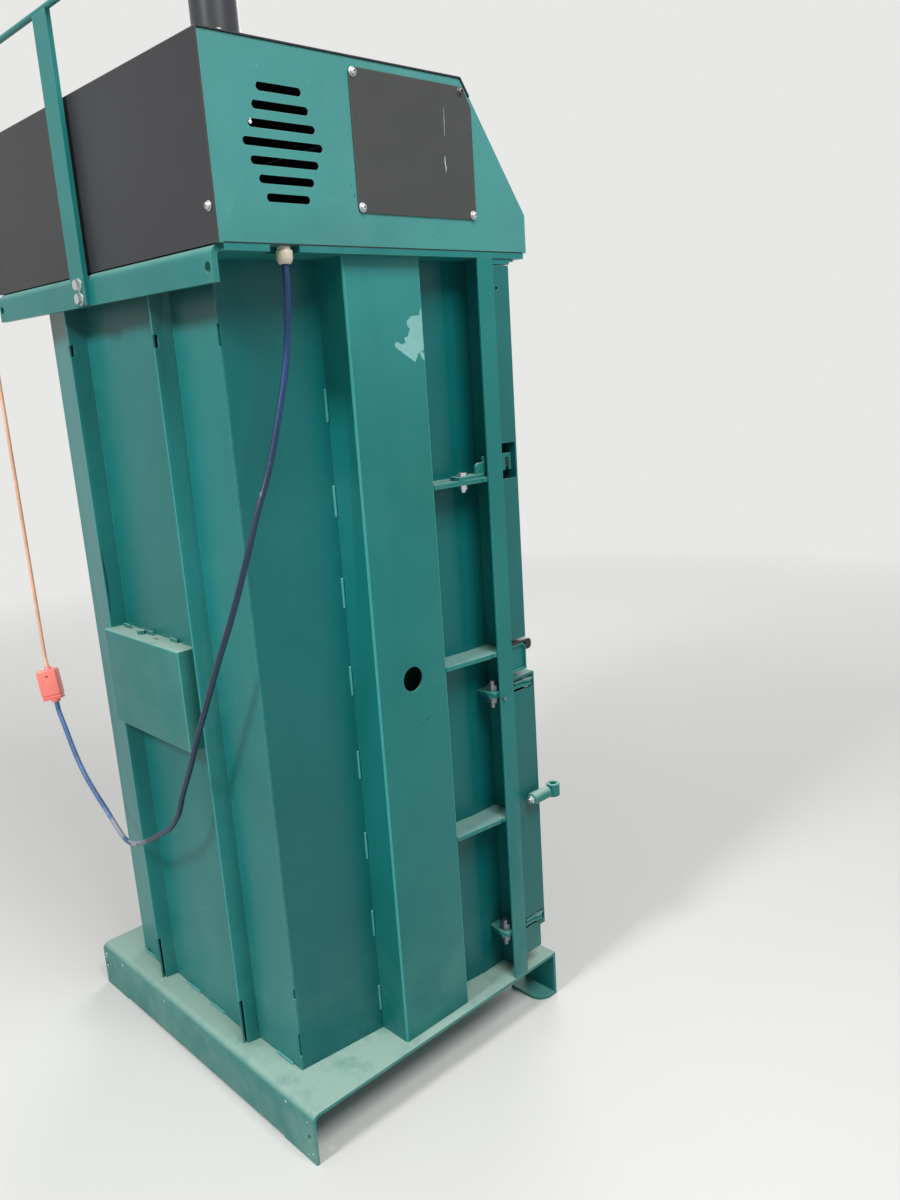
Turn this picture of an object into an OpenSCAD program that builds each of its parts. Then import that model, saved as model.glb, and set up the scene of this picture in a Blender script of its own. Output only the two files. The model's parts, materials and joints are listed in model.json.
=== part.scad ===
// Vertical hydraulic recycling baler, at its real size in millimetres.
// The operator stands at the front, on the -Y side. Left and right are as seen from there.
// The origin is on the floor, under the middle of the machine.

/* [Base] */
// Width of the base plate, left to right
base_width = 960; // [930:1:990]
// Depth of the base plate, back to front
base_depth = 765; // [755:1:790]
// Height of the base plate's top face above the floor
base_height = 118; // [110:1:130]
// Thickness of the base plate
base_plate = 8; // [6:0.5:10]
// Outer radius of the bend between the base plate and its rear flange
base_bend = 18; // [12:1:24]
// Gap under the rear flange between its foot pads
pad_gap = 5; // [3:0.5:8]
// Length of each foot pad at the ends of the rear flange
pad_length = 118; // [90:1:150]
// Diameter of the anchor holes in the rear flange
anchor_d = 16; // [12:0.5:17]
// Distance of each anchor hole from the end of the rear flange
anchor_inset = 17; // [14:1:30]
// Height of the anchor holes above the floor
anchor_height = 58; // [40:1:80]
// Width of each front foot
foot_width = 104; // [80:1:130]
// Length of each front foot's toe, front to back
foot_toe = 60; // [45:1:80]
// Radius of the toe's round corner
foot_round = 38; // [20:1:40]

/* [Chamber] */
// Clear height from the base plate to the top plate
chamber_height = 1682; // [1600:1:1750]
// Distance from the machine's rear plane to the back wall
wall_setback = 70; // [64:1:76]
// Mean distance from the side of the base to the rear corner of the chamber
rear_margin = 120; // [114:1:126]
// Mean distance from the side of the base to the front of the chamber
front_margin = 66; // [62:1:70]
// Depth of the tapered part of the side walls
taper_depth = 512; // [496:1:520]
// Thickness of the chamber's sheets
wall_sheet = 4; // [3:0.5:5]
// Sideways shift of the chamber from the middle of the base plate
chamber_shift = 10; // [0:1:14]
// Distance from the left corner to the first strap channel
channel_first = 171; // [150:1:180]
// Spacing of the strap channels
channel_pitch = 379; // [350:1:390]
// Height that each strap channel stands out of the back wall
channel_height = 40; // [32:1:44]
// Width of each strap channel
channel_width = 57; // [48:1:64]
// How far each panel of the back wall starts in front of the next
panel_rise = 12; // [6:1:14]
// Depth of the strap slots in the crests
strap_slot = 10; // [8:1:14]
// Height of the upper strap slots
strap_slot_top = 24; // [18:1:40]
// Height of the lower strap slots
strap_slot_low = 112; // [90:1:125]

/* [Side columns and posts] */
// Distance from the side of the base plate to the column's face
column_inset = 24; // [16:1:30]
// Distance from the rear plane to the column
column_start = 283; // [276:1:290]
// Width of each column, back to front
column_width = 194; // [180:1:200]
// Thickness of the column's sheet
column_sheet = 5; // [4:0.5:6]
// Diameter of the hole in the left column
column_hole = 54; // [40:1:60]
// Height of the hole in the left column
column_hole_height = 950; // [900:1:1000]
// Width of each front post strip, back to front
post_width = 45; // [41:1:49]
// Thickness of each front post strip
post_sheet = 5; // [4:0.5:6]
// Distance from the rear plane to the front edge of the posts
post_front = 662; // [660:1:664]
// Thickness of the gussets
gusset_plate = 10; // [8:0.5:12]
// Height of the top of the lower gusset
gusset_low = 545; // [520:1:560]
// Height of the top of the middle gusset
gusset_mid = 950; // [940:1:953]
// Height of the top of the upper gusset
gusset_high = 1348; // [1330:1:1360]

/* [Top plate and housing] */
// How much wider the top plate is than the base, all on the right
crown_extra = 8; // [4:1:12]
// Depth of the top plate
crown_depth = 758; // [752:1:764]
// Thickness of the top plate
crown_plate = 12; // [10:0.5:14]
// Height of the top plate's rear ledge
ledge_height = 62; // [54:1:70]
// Outer radius of the bend between the top plate and its ledge
crown_bend = 20; // [16:1:26]
// Distance from the side of the top plate to the end of its ledge
ledge_inset = 12; // [8:1:16]
// Diameter of the holes in the ledge
ledge_hole = 19; // [12:0.5:20]
// Height of the housing above the top plate
housing_height = 324; // [310:1:340]
// Depth of the housing at its foot
housing_depth = 760; // [756:1:764]
// Depth of the housing's flat top
housing_top = 586; // [570:1:600]
// Height of the housing's upright front
housing_front = 76; // [60:1:90]
// Distance from the rear plane to the housing
housing_setback = 8; // [6:1:12]
// Thickness of the housing's sheets
housing_sheet = 2.5; // [2:0.5:3]
// Overhang of the cover beyond each side panel
cover_overhang = 3; // [1:0.5:5]
// Width of the flanges folded inward round the side panels
panel_flange = 22; // [16:1:28]
// Number of vent slots
vent_count = 7; // [5:1:7]
// Height of each vent slot
vent_slot = 14; // [10:1:16]
// Spacing of the vent slots
vent_pitch = 29; // [26:1:30]
// Distance from the rear plane to the access plate
access_start = 312; // [300:1:325]
// Thickness of the access plate
access_sheet = 3; // [2:0.5:4]
// Length of the access plate
access_length = 307; // [290:1:315]
// Height of the access plate
access_height = 246; // [230:1:252]
// Size of the electrical opening behind the access plate, all round smaller
access_margin = 18; // [14:1:30]

/* [Press] */
// Outside diameter of the press cylinder
barrel_d = 102; // [98:1:106]
// Bore of the press cylinder
barrel_bore = 80; // [74:1:84]
// Diameter of the piston rod
rod_d = 50; // [40:1:55]
// Travel of the press plate
stroke = 950; // [900:1:980]
// Running gap round the piston and the rod
running_gap = 0.05; // [0.02:0.01:0.09]
// Height of the press plate's underside when raised
platen_rest = 1662; // [1650:1:1670]
// Thickness of the press plate
platen_plate = 12; // [10:1:16]
// Height of the press plate's ribs
platen_rib = 62; // [50:1:66]
// Gap between the press plate and the walls
platen_gap = 12; // [10:1:16]
// Size of the cylinder's square flange
flange_size = 170; // [160:1:180]
// Thickness of the cylinder's flange
flange_plate = 20; // [16:1:24]

/* [Doors] */
// Gap between the posts and the doors
door_gap = 3; // [2.5:0.5:4]
// Distance from the side of the base plate to the side of the doors
door_inset = 3; // [2:0.5:5]
// Thickness of the doors' sheets
door_sheet = 4; // [3:0.5:5]
// Depth of the upper door
upper_depth = 47; // [46:1:50]
// Depth of the lower door
lower_depth = 70; // [68:1:74]
// Depth of the lower door's apron
apron_depth = 53; // [48:1:58]
// Height of the foot of the lower door's apron
apron_foot = 162; // [150:1:175]
// Height of the foot of the lower door's outer skin
lower_foot = 218; // [210:1:226]
// Height of the top of the lower door
lower_top = 878; // [874:1:882]
// Height of the sill's underside
sill_foot = 890; // [886:1:896]
// Height of the sill's top
sill_top = 955; // [953:1:958]
// Height of the foot of the upper door
upper_foot = 968; // [966:1:974]
// Gap between the upper door and the header
header_gap = 2; // [1.5:0.5:4]
// Thickness of each hinge ear
ear_plate = 6; // [5:0.5:8]
// Radius of the hinge ears' round ends
ear_round = 18; // [16:0.5:19]
// Diameter of the hinge pins
hinge_pin = 16; // [12:0.5:18]
// Distance from the side of the base plate to the hinge axis
hinge_inset = 15; // [14:0.5:17]
// Diameter of each catch shaft
catch_shaft = 14; // [12:0.5:16]
// Length of each catch arm
catch_arm = 48; // [40:1:52]

/* [Rack and trim] */
// Width of the rack's upright
upright_width = 60; // [50:1:70]
// Thickness of the rack's upright
upright_plate = 10; // [8:0.5:12]
// Distance from the left side to the middle of the upright
upright_at = 506; // [490:1:520]
// Height of the middle of the rack's rail
rail_height = 2287; // [2260:1:2310]
// Diameter of the rack's rail
rail_d = 12; // [10:0.5:16]
// Width of the back cover box
box_width = 338; // [320:1:340]
// Height of the back cover box
box_height = 222; // [200:1:240]
// Height of the foot of the back cover box
box_foot = 824; // [800:1:850]
// Distance from the rear plane to the face of the back cover box
box_face = 15; // [10:1:20]
// Diameter of the blue supply cable
cable_d = 12; // [10:0.5:14]
// Diameter of the orange supply lead
lead_d = 9; // [8:0.5:11]

/* [Hidden] */

$fn = 48;
eps = 0.01;

// Places and derived sizes
boss_d = 30;
boss_u = door_inset - boss_d / 2 - 1.5;
eye_d = 32;
eye_v = -768;
ring_d = 19;
hook_u = base_width + 33;
hook_v = 15;
left_x = -(boss_u - eye_d / 2 + hook_u + ring_d / 2) / 2;
rear_y = -(eye_v - eye_d / 2 + hook_v + ring_d / 2) / 2;
centre_u = base_width / 2 + chamber_shift;
crown_width = base_width + crown_extra;
rear_width = base_width - 2 * rear_margin;
front_width = base_width - 2 * front_margin;
chamber_top = base_height + chamber_height;
crown_top = chamber_top + crown_plate;
housing_z = crown_top + housing_height;
rear_left_u = centre_u - rear_width / 2;
front_left_u = centre_u - front_width / 2;
wall_back_v = -wall_setback - wall_sheet;
taper_end_v = -wall_setback - taper_depth;
post_front_v = -post_front;
post_back_v = post_front_v + post_width;
column_back_v = -column_start;
column_front_v = -column_start - column_width;
column_mid_v = (column_back_v + column_front_v) / 2;
door_back_v = post_front_v - door_gap;
upper_front_v = door_back_v - upper_depth;
lower_front_v = door_back_v - lower_depth;
apron_front_v = door_back_v - apron_depth;
header_plate = 6;
upper_top = chamber_top - header_plate * 2 - header_gap;
press_v = -367;
gland_v = -150;
gland_u = 16;
teal = [0.16, 0.52, 0.50];
light_teal = [0.42, 0.70, 0.66];
coal = [0.16, 0.16, 0.17];
zinc = [0.72, 0.73, 0.74];
steel = [0.55, 0.57, 0.60];
rubber = [0.06, 0.06, 0.06];
ivory = [0.85, 0.80, 0.70];

// Route points of the two cords
cable_route = [[16, -150, 1781], [16, -150, 1769], [16, -150, 1757], [21, -150, 1714], [29, -149, 1664],
    [31, -138, 1600], [33, -105, 1490], [36, -80, 1417], [38, -50, 1350], [48, -20, 1260], [87, 0, 1155],
    [141, 9, 1060], [249, 14, 886], [293, 15, 812], [342, 15, 739], [373, 15, 686], [420, 15, 638],
    [487, 15, 597], [557, 15, 559], [621, 15, 532], [669, 15, 528], [702, 15, 543], [752, 15, 576],
    [818, 15, 618], [864, 15, 655], [902, 15, 701], [935, 15, 756], [958, 15, 792], [961, 15, 804],
    [964, 15, 816]];
lead_route = [[987, 15, 908], [989, 15, 916], [991, 15, 924], [hook_u, 15, 960], [hook_u, 15, 1180],
    [hook_u, 15, 1500], [hook_u, 15, 1860], [hook_u, 15, 2294]];

// Everything is drawn from the left rear corner of the base: u runs right, v is negative towards the front
module from_corner() {
    translate([left_x, rear_y, 0])
        children();
}

// A copy of left-hand pieces on the right-hand side
module right_hand() {
    translate([base_width, 0, 0])
        mirror([1, 0, 0])
            children();
}

// Left-hand pieces on the side asked for: 0 is left and 1 is right
module on_side(side) {
    if (side == 0)
        children();
    else
        right_hand()
            children();
}

// A flat outline in the floor plane, raised to a height
module slab(foot, height) {
    translate([0, 0, foot])
        linear_extrude(height = height)
            children();
}

// A flat outline of v and z, standing across the machine
module across(start, length) {
    translate([start, 0, 0])
        rotate([90, 0, 90])
            linear_extrude(height = length)
                children();
}

function unit(a) = a / norm(a);
function normal(a, b) = let (d = unit(b - a)) [d[1], -d[0]];
function mitre(n, m, t) = t / (1 + n * m) * (n + m);

// The line that runs beside an open line of points, t to its right
function beside(p, t) = let (last = len(p) - 1) [for (i = [0:last])
    i == 0 ? p[0] + t * normal(p[0], p[1])
    : i == last ? p[last] + t * normal(p[last - 1], p[last])
    : p[i] + mitre(normal(p[i - 1], p[i]), normal(p[i], p[i + 1]), t)];

// A sheet of thickness t folded along an open line of points
module folded_sheet(p, t) {
    other = beside(p, t);
    last = len(p) - 1;
    polygon(concat(p, [for (i = [last:-1:0]) other[i]]));
}

// The same outline, grown by t all round
function grown(p, t) = let (n = len(p)) [for (i = [0:n - 1])
    p[i] + mitre(normal(p[(i + n - 1) % n], p[i]), normal(p[i], p[(i + 1) % n]), t)];

// Corner points of an outline rounded to radius r, in steps of an arc
function rounded(p, r, steps = 6) = let (n = len(p)) [for (i = [0:n - 1])
    let (
        a = unit(p[(i + n - 1) % n] - p[i]),
        b = unit(p[(i + 1) % n] - p[i]),
        half = acos(a * b) / 2,
        reach = r / tan(half),
        centre = p[i] + unit(a + b) * r / sin(half),
        from = p[i] + a * reach - centre,
        to = p[i] + b * reach - centre,
        sweep = atan2(from[0] * to[1] - from[1] * to[0], from * to)
    )
    for (k = [0:steps])
        let (turn = sweep * k / steps)
            centre + [from[0] * cos(turn) - from[1] * sin(turn), from[0] * sin(turn) + from[1] * cos(turn)]];

function box_points(a, b) = [[a[0], a[1]], [b[0], a[1]], [b[0], b[1]], [a[0], b[1]]];

// A slot with round ends, lying along the first axis
module round_slot(length, width) {
    square([length - width, width], center = true);
    for (end = [-1, 1])
        translate([end * (length - width) / 2, 0])
            circle(d = width);
}

// A round bar along u
module bar_u(start, length, v, z, d) {
    translate([start, v, z])
        rotate([0, 90, 0])
            cylinder(d = d, h = length);
}

// A round bar along v, from v towards the front
module bar_v(u, v, z, length, d) {
    translate([u, v, z])
        rotate([90, 0, 0])
            cylinder(d = d, h = length);
}

// A hexagon nut or bolt head along z
module hexagon(size, height) {
    cylinder(d = size / cos(30), h = height, $fn = 6);
}

// A domed screw head that stands up along z
module dome_head(d, height) {
    ball = (d * d / 4 + height * height) / (2 * height);
    intersection() {
        translate([0, 0, height - ball])
            sphere(r = ball);
        cylinder(d = d + 1, h = height + 1);
    }
}

// Where the side wall's outer face stands at a given v, on the left
function wall_u(v) = v > taper_end_v
    ? front_left_u + (rear_left_u - front_left_u) * (v - taper_end_v) / (wall_back_v - taper_end_v)
    : front_left_u;

// The same place on either side: side 0 is left and side 1 is right
function side_u(side, u) = side == 0 ? u : base_width - u;
function side_wall_u(side, v) = side == 0 ? wall_u(v) : 2 * centre_u - wall_u(v);

// Distance of the side wall from its own side of the base
function wall_reach(side, v) = side == 0 ? wall_u(v) : base_width - side_wall_u(1, v);

// Outer line of the back wall, left to right
function back_line() = let (
        c1 = rear_left_u + channel_first,
        c2 = c1 + channel_pitch,
        low = -wall_setback,
        high = low + channel_height,
        rise = low + panel_rise,
        lean = 8
    ) [[rear_left_u, low], [c1 - lean, low], [c1, high], [c1 + channel_width, rise], [c2 - lean, low],
        [c2, high],
        [c2 + channel_width, rise], [rear_left_u + rear_width, low]];

channel_us = [for (i = [0:1]) rear_left_u + channel_first + i * channel_pitch];

// Region filled by the back wall and all in front of it
module behind_wall() {
    polygon(concat(back_line(), [[rear_left_u + rear_width, -base_depth], [rear_left_u, -base_depth]]));
}

/* The base */

module base_plate() {
    color(light_teal) from_corner()
        difference() {
            union() {
                across(0, base_width)
                    base_profile(pad_gap);
                for (start = [0, base_width - pad_length])
                    across(start, pad_length)
                        base_profile(0);
            }
            for (u = [anchor_inset, base_width - anchor_inset])
                bar_v(u, 1, anchor_height, base_plate + 2, anchor_d);
        }
}

// Section of the base plate: v across, z up
module base_profile(foot) {
    inner = base_bend - base_plate;
    translate([-base_depth, base_height - base_plate])
        square([base_depth - base_bend, base_plate]);
    translate([-base_plate, foot])
        square([base_plate, base_height - base_bend - foot]);
    translate([-base_bend, base_height - base_bend])
        intersection() {
            difference() {
                circle(r = base_bend);
                circle(r = inner);
            }
            square(base_bend);
        }
}

module front_feet() {
    color(teal) from_corner()
        for (side = [0, 1])
            on_side(side)
                front_foot();
}

module front_foot() {
    leg_top = base_height - base_plate;
    front_v = -base_depth;
    slab(0, base_plate)
        difference() {
            translate([0, front_v])
                square([foot_width, foot_toe]);
            translate([0, front_v + foot_toe - foot_round])
                difference() {
                    translate([-1, 0])
                        square([foot_round + 1, foot_round + 1]);
                    translate([foot_round, 0])
                        circle(r = foot_round);
                }
        }
    translate([0, front_v, base_plate])
        cube([foot_width, base_plate, leg_top - base_plate]);
}

/* The chamber */

module back_wall() {
    slot_low = chamber_top - 142;
    corner_slots = [[chamber_top - 150, 40], [base_height + 175, 25], [base_height + 34, 56]];
    color(teal) from_corner()
        difference() {
            slab(base_height, chamber_height)
                folded_sheet(back_line(), wall_sheet);
            for (u = channel_us)
                for (slot = [[slot_low, strap_slot_top], [base_height - 1, strap_slot_low + 1]])
                    translate([u - wall_sheet, channel_height - wall_setback - strap_slot, slot[0]])
                        cube([2 * wall_sheet, strap_slot + 1, slot[1]]);
            for (slit = corner_slots)
                translate([rear_left_u - 1, wall_back_v - 1, slit[0]])
                    cube([wall_sheet + 2, wall_sheet + 2, slit[1]]);
        }
}

module side_wall() {
    line = [[wall_u(wall_back_v), wall_back_v], [front_left_u, taper_end_v], [front_left_u, post_front_v]];
    slab(base_height, chamber_height)
        folded_sheet(line, -wall_sheet);
}

module left_side_wall() {
    color(teal) from_corner()
        side_wall();
}

module right_side_wall() {
    color(teal) from_corner()
        translate([2 * centre_u, 0, 0])
            mirror([1, 0, 0])
                side_wall();
}

// Folded channel between the base plate and the top plate
module column(side) {
    inward = side == 0 ? 1 : -1;
    face_u = side_u(side, column_inset);
    inner_u = face_u + inward * column_sheet;
    back_in = column_back_v - column_sheet;
    front_in = column_front_v + column_sheet;
    slab(base_height, chamber_height)
        polygon([
            [side_wall_u(side, column_back_v), column_back_v],
            [face_u, column_back_v],
            [face_u, column_front_v],
            [side_wall_u(side, column_front_v), column_front_v],
            [side_wall_u(side, front_in), front_in],
            [inner_u, front_in],
            [inner_u, back_in],
            [side_wall_u(side, back_in), back_in]
        ]);
}

module left_column() {
    color(teal) from_corner()
        difference() {
            column(0);
            bar_u(column_inset - 1, column_sheet + 2, column_mid_v, column_hole_height, column_hole);
        }
}

module right_column() {
    color(teal) from_corner()
        column(1);
}

// Angle at the front corner: a side strip, notched at the hinges, and a flange that reaches the chamber
module post(side, notches, r, lug_z) {
    gap = 1;
    notch = 22;
    difference() {
        union() {
            translate([0, post_front_v, base_height])
                cube([post_sheet, post_width, chamber_height]);
            translate([0, post_front_v, base_height])
                cube([wall_reach(side, post_front_v), post_sheet, chamber_height]);
        }
        for (z = notches) {
            translate([-1, post_front_v - 1, z - gap])
                cube([post_sheet + 2, notch + 1, ear_plate + 2 * gap]);
            translate([post_sheet, post_front_v - 1, z - gap])
                cube([hinge_inset + r + gap - post_sheet, post_sheet + 2, ear_plate + 2 * gap]);
        }
        translate([lug_u - gap, post_front_v - 1, lug_z - gap])
            cube([lug[0] + 2 * gap, post_sheet + 2, lug[1] + 2 * gap]);
    }
}

lug = [8, 36];
lug_u = 16;
striker_plate = 8;

module left_post() {
    color(teal) from_corner()
        post(0, lower_hinges, ear_round, gusset_high + striker_plate);
}

module right_post() {
    color(teal) from_corner()
        right_hand()
            post(1, upper_hinges, upper_ear_round, gusset_low + striker_plate);
}

// Plates that tie the post to the column and the wall
module gussets(side) {
    holed = side == 0 ? gusset_high : gusset_low;
    difference() {
        for (top = [gusset_low, gusset_mid, gusset_high])
            slab(top - gusset_plate, gusset_plate)
                gusset_outline(side);
        translate([side_u(side, striker_bolt[0]), striker_bolt[1], holed - gusset_plate - 1])
            cylinder(d = 12, h = gusset_plate + 2);
    }
}

module gusset_outline(side) {
    inward = side == 0 ? 1 : -1;
    post_u = side_u(side, post_sheet);
    start_u = side_u(side, column_inset - 2);
    front_v = post_front_v + post_sheet;
    polygon([
        [start_u, column_front_v],
        [post_u + inward * 4, post_back_v + 14],
        [post_u + inward * 7, post_back_v + 5],
        [post_u, post_back_v - 3],
        [post_u, front_v],
        [side_wall_u(side, front_v), front_v],
        [side_wall_u(side, taper_end_v), taper_end_v],
        [side_wall_u(side, column_front_v), column_front_v]
    ]);
}

module left_gussets() {
    color(light_teal) from_corner()
        gussets(0);
}

module right_gussets() {
    color(light_teal) from_corner()
        gussets(1);
}

// Short weld runs in the corner between each column and the chamber, and along the foot of the back wall
module stitch_welds() {
    bead = 6;
    run = 66;
    pitch = 190;
    count = 8;
    foot_runs = [[30, 2], [300, 9], [420, 5], [640, 7]];
    color(teal) from_corner() {
        for (side = [0, 1])
            for (i = [0:count - 1])
                translate([side_wall_u(side, column_back_v), column_back_v + bead / 2,
                    base_height + 46 + i * pitch])
                    cylinder(d = bead, h = run, $fn = 16);
        for (at = foot_runs)
            bar_u(rear_left_u + at[0], run, at[1] - wall_setback, base_height + bead / 2, bead);
    }
}

/* The top plate and what stands at the front */

// Section of the top plate: v across, z up
module crown_profile() {
    inner = crown_bend - crown_plate;
    translate([-crown_depth, chamber_top])
        square([crown_depth - crown_bend, crown_plate]);
    translate([-crown_plate, crown_top - ledge_height])
        square([crown_plate, ledge_height - crown_bend]);
    translate([-crown_bend, crown_top - crown_bend])
        intersection() {
            difference() {
                circle(r = crown_bend);
                circle(r = inner);
            }
            square(crown_bend);
        }
}

module top_plate() {
    notch = [34, 63];
    notch_start = -173;
    color(light_teal) from_corner()
        difference() {
            union() {
                across(ledge_inset, crown_width - 2 * ledge_inset)
                    crown_profile();
                translate([0, -crown_depth, chamber_top])
                    cube([crown_width, crown_depth - crown_bend, crown_plate]);
            }
            translate([-1, notch_start, chamber_top - 1])
                cube([notch[0] + 1, notch[1], crown_plate + 2]);
            for (u = [ledge_inset + 14, crown_width - ledge_inset - 14])
                bar_v(u, 1, crown_top - ledge_height + 25, crown_plate + 2, ledge_hole);
            for (z = rack_bolt_zs)
                bar_v(rack_bolt_u, 1, z, crown_plate + 2, rack_bolt_d);
            translate([centre_u, press_v, chamber_top - 1])
                cylinder(d = rod_d + 2 * gland_wall, h = crown_plate + 2);
            for (place = flange_bolts)
                translate([place[0], place[1], chamber_top - 1])
                    cylinder(d = flange_bolt_d + 1, h = crown_plate + 2);
        }
}

module front_header() {
    steps = [[header_plate, 67], [header_plate * 2, 54]];
    color(teal) from_corner()
        for (step = steps)
            translate([door_inset, post_front_v - step[1], chamber_top - step[0]])
                cube([base_width - 2 * door_inset, step[1], header_plate]);
}

// Folded cross member between the two doors, its ends closed by recessed plates
module door_sill() {
    front_round = 14;
    length = base_width - 2 * door_inset;
    recess = 6;
    color(teal) from_corner() {
        difference() {
            across(door_inset, length)
                sill_section(0, front_round);
            across(door_inset - 1, length + 2)
                sill_section(door_sheet, front_round - door_sheet);
            translate([front_left_u, post_front_v - door_sheet - 1, sill_foot + door_sheet])
                cube([front_width, door_sheet + 2, sill_top - sill_foot - 2 * door_sheet]);
        }
        for (start = [door_inset + recess, door_inset + length - recess - door_sheet])
            across(start, door_sheet)
                sill_section(door_sheet - eps, front_round - door_sheet);
    }
}

module sill_section(shrink, r) {
    low = [upper_front_v + shrink, sill_foot + shrink];
    high = [post_front_v - shrink, sill_top - shrink];
    difference() {
        translate(low)
            square(high - low);
        translate([low[0], high[1] - r])
            difference() {
                translate([-1, 0])
                    square([r + 1, r + 1]);
                translate([r, 0])
                    circle(r = r);
            }
    }
}

// Black edge guard on the sill: a flat top with a drooping nose in front
module sill_lip() {
    top = 6;
    nose = [19, 29];
    drop = 18;
    clear = 0.2;
    color(rubber) from_corner()
        across(door_inset, base_width - 2 * door_inset) {
            translate([upper_front_v - clear, sill_top])
                square([post_front_v - upper_front_v + clear, top]);
            translate([upper_front_v - nose[0] - clear, sill_top + top - nose[1] + 4]) {
                translate([nose[0] / 2, 0])
                    square([nose[0] / 2, nose[1] - 4]);
                translate([0, nose[0] / 2])
                    square([nose[0], nose[1] - 4 - nose[0]]);
                translate([nose[0] / 2, nose[0] / 2])
                    circle(d = nose[0]);
                translate([nose[0] / 2, nose[1] - 4 - nose[0] / 2])
                    circle(d = nose[0]);
            }
        }
}

/* The housing */

// Outer outline of the housing: v across, z up
function housing_line() = [
    [-housing_setback, crown_top],
    [-housing_setback, housing_z],
    [-housing_setback - housing_top, housing_z],
    [-housing_setback - housing_depth, crown_top + housing_front],
    [-housing_setback - housing_depth, crown_top]
];

slope_run = [housing_depth - housing_top, housing_height - housing_front];

// Folded tray with flanges all round
module housing_side() {
    panel = housing_side_line();
    difference() {
        across(0, panel_flange)
            polygon(panel);
        across(housing_sheet, panel_flange)
            polygon(grown(panel, -housing_sheet));
    }
}

// Outline of the side panels: inside the cover, and down on the top plate
function housing_side_line() = let (q = grown(housing_line(), -housing_sheet)) [
    [q[0][0], crown_top], q[1], q[2], q[3], [q[4][0], crown_top]
];

module vent_slots() {
    lengths = [92, 116, 138, 165, 141, 115, 91];
    vent_top = crown_top + 249;
    vent_mid_v = -160;
    first = floor((7 - vent_count) / 2);
    across(-1, housing_sheet + 2)
        for (i = [0:vent_count - 1])
            translate([vent_mid_v, vent_top - (first + i) * vent_pitch])
                round_slot(lengths[first + i], vent_slot);
}

// Outline of the access plate, its top front corner cut along the housing's slope
function access_line(shrink) = let (
        back = -access_start - shrink,
        front = -access_start - access_length + shrink,
        foot = crown_top + 60 + shrink,
        top = foot + access_height - 2 * shrink
    ) [[back, foot], [back, top], [front + 22, top], [front, top - 36], [front, foot]];

module left_housing_panel() {
    gland_hole = 21;
    color(teal) from_corner()
        difference() {
            union() {
                housing_side();
                translate([housing_sheet, gland_v - 30, crown_top])
                    cube([panel_flange + 12, 60, housing_sheet]);
            }
            vent_slots();
            across(-1, housing_sheet + 2)
                polygon(rounded(access_line(access_margin), 8));
            translate([gland_u, gland_v, crown_top - 1])
                cylinder(d = gland_hole, h = housing_sheet + 2);
        }
}

module right_housing_panel() {
    color(teal) from_corner()
        translate([crown_width, 0, 0])
            mirror([1, 0, 0])
                difference() {
                    housing_side();
                    vent_slots();
                }
}

// Black cover over the back and the top, with a short lip down the slope
module top_cover() {
    lip = 40;
    p = housing_line();
    end = p[2] + unit(p[3] - p[2]) * lip;
    color(coal) from_corner()
        difference() {
            across(-cover_overhang, crown_width + 2 * cover_overhang)
                folded_sheet([p[0], p[1], p[2], end], -housing_sheet);
            slab(housing_z - housing_sheet - 1, housing_sheet + 2)
                for (hole = [[centre_u, barrel_d + 8], [riser_u, pipe_d + 12]])
                    translate([hole[0], press_v])
                        circle(d = hole[1]);
        }
}

// Sloped front sheet with the collars of the controls
module control_panel() {
    gap = 40.5;
    p = housing_line();
    start = p[2] + unit(p[3] - p[2]) * gap;
    color(teal) from_corner()
        difference() {
            union() {
                across(0, crown_width)
                    folded_sheet([start, p[3], p[4]], -housing_sheet);
                for (collar = [[start_u, 5], [return_u, 5], [stop_u, 10], [key_u, 4]])
                    on_slope(collar[0])
                        translate([0, 0, -1])
                            cylinder(d = control_hole + 8, h = collar[1] + 1);
            }
            for (u = [start_u, return_u, stop_u, key_u])
                on_slope(u)
                    translate([0, 0, -housing_sheet - 1])
                        cylinder(d = control_hole, h = housing_sheet + 12);
        }
}

control_hole = 22.6;
start_u = 400;
return_u = 470;
stop_u = 560;
key_u = 330;
control_down = 170;

// A place on the sloped panel, with z standing out of it
module on_slope(u) {
    p = housing_line();
    at = p[2] + unit(p[3] - p[2]) * control_down;
    lean = atan2(slope_run[1], slope_run[0]);
    translate([u, at[0], at[1]])
        rotate([lean, 0, 0])
            children();
}

// The round part of a control that passes through the panel
module control_stem(reach) {
    translate([0, 0, -22])
        cylinder(d = control_hole - 1.2, h = 22 + reach);
}

module start_button() {
    color([0.10, 0.45, 0.18]) from_corner()
        on_slope(start_u)
            control_stem(7.5);
}

module return_button() {
    color([0.12, 0.12, 0.12]) from_corner()
        on_slope(return_u)
            control_stem(7.5);
}

module emergency_stop() {
    color([0.75, 0.07, 0.05]) from_corner()
        on_slope(stop_u) {
            control_stem(17);
            translate([0, 0, 16])
                cylinder(d = 42, h = 6 + eps);
            translate([0, 0, 22])
                dome_head(42, 10);
        }
}

module key_switch() {
    color(zinc) from_corner()
        on_slope(key_u) {
            control_stem(6);
            translate([-1.5, -11, 5])
                cube([3, 22, 24]);
        }
}

module access_plate() {
    color(coal) from_corner()
        across(-access_sheet, access_sheet)
            polygon(rounded(access_line(0), 12));
}

// Domed screws of the access plate, the cover and the back
module housing_screws() {
    head = [17, 7];
    p = access_line(9);
    plate_screws = [p[0], p[1], [p[2][0] - 2, p[2][1]], p[4]];
    color(zinc) from_corner() {
        for (at = plate_screws)
            translate([-access_sheet, at[0], at[1]])
                rotate([0, -90, 0])
                    dome_head(head[0], head[1]);
        for (u = [15, crown_width - 15])
            for (v = [-63, -563])
                translate([u, v, housing_z])
                    dome_head(head[0], head[1]);
        for (u = [14, crown_width - 14])
            translate([u, -housing_setback, crown_top + 58])
                rotate([-90, 0, 0])
                    dome_head(head[0], head[1]);
    }
}

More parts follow.
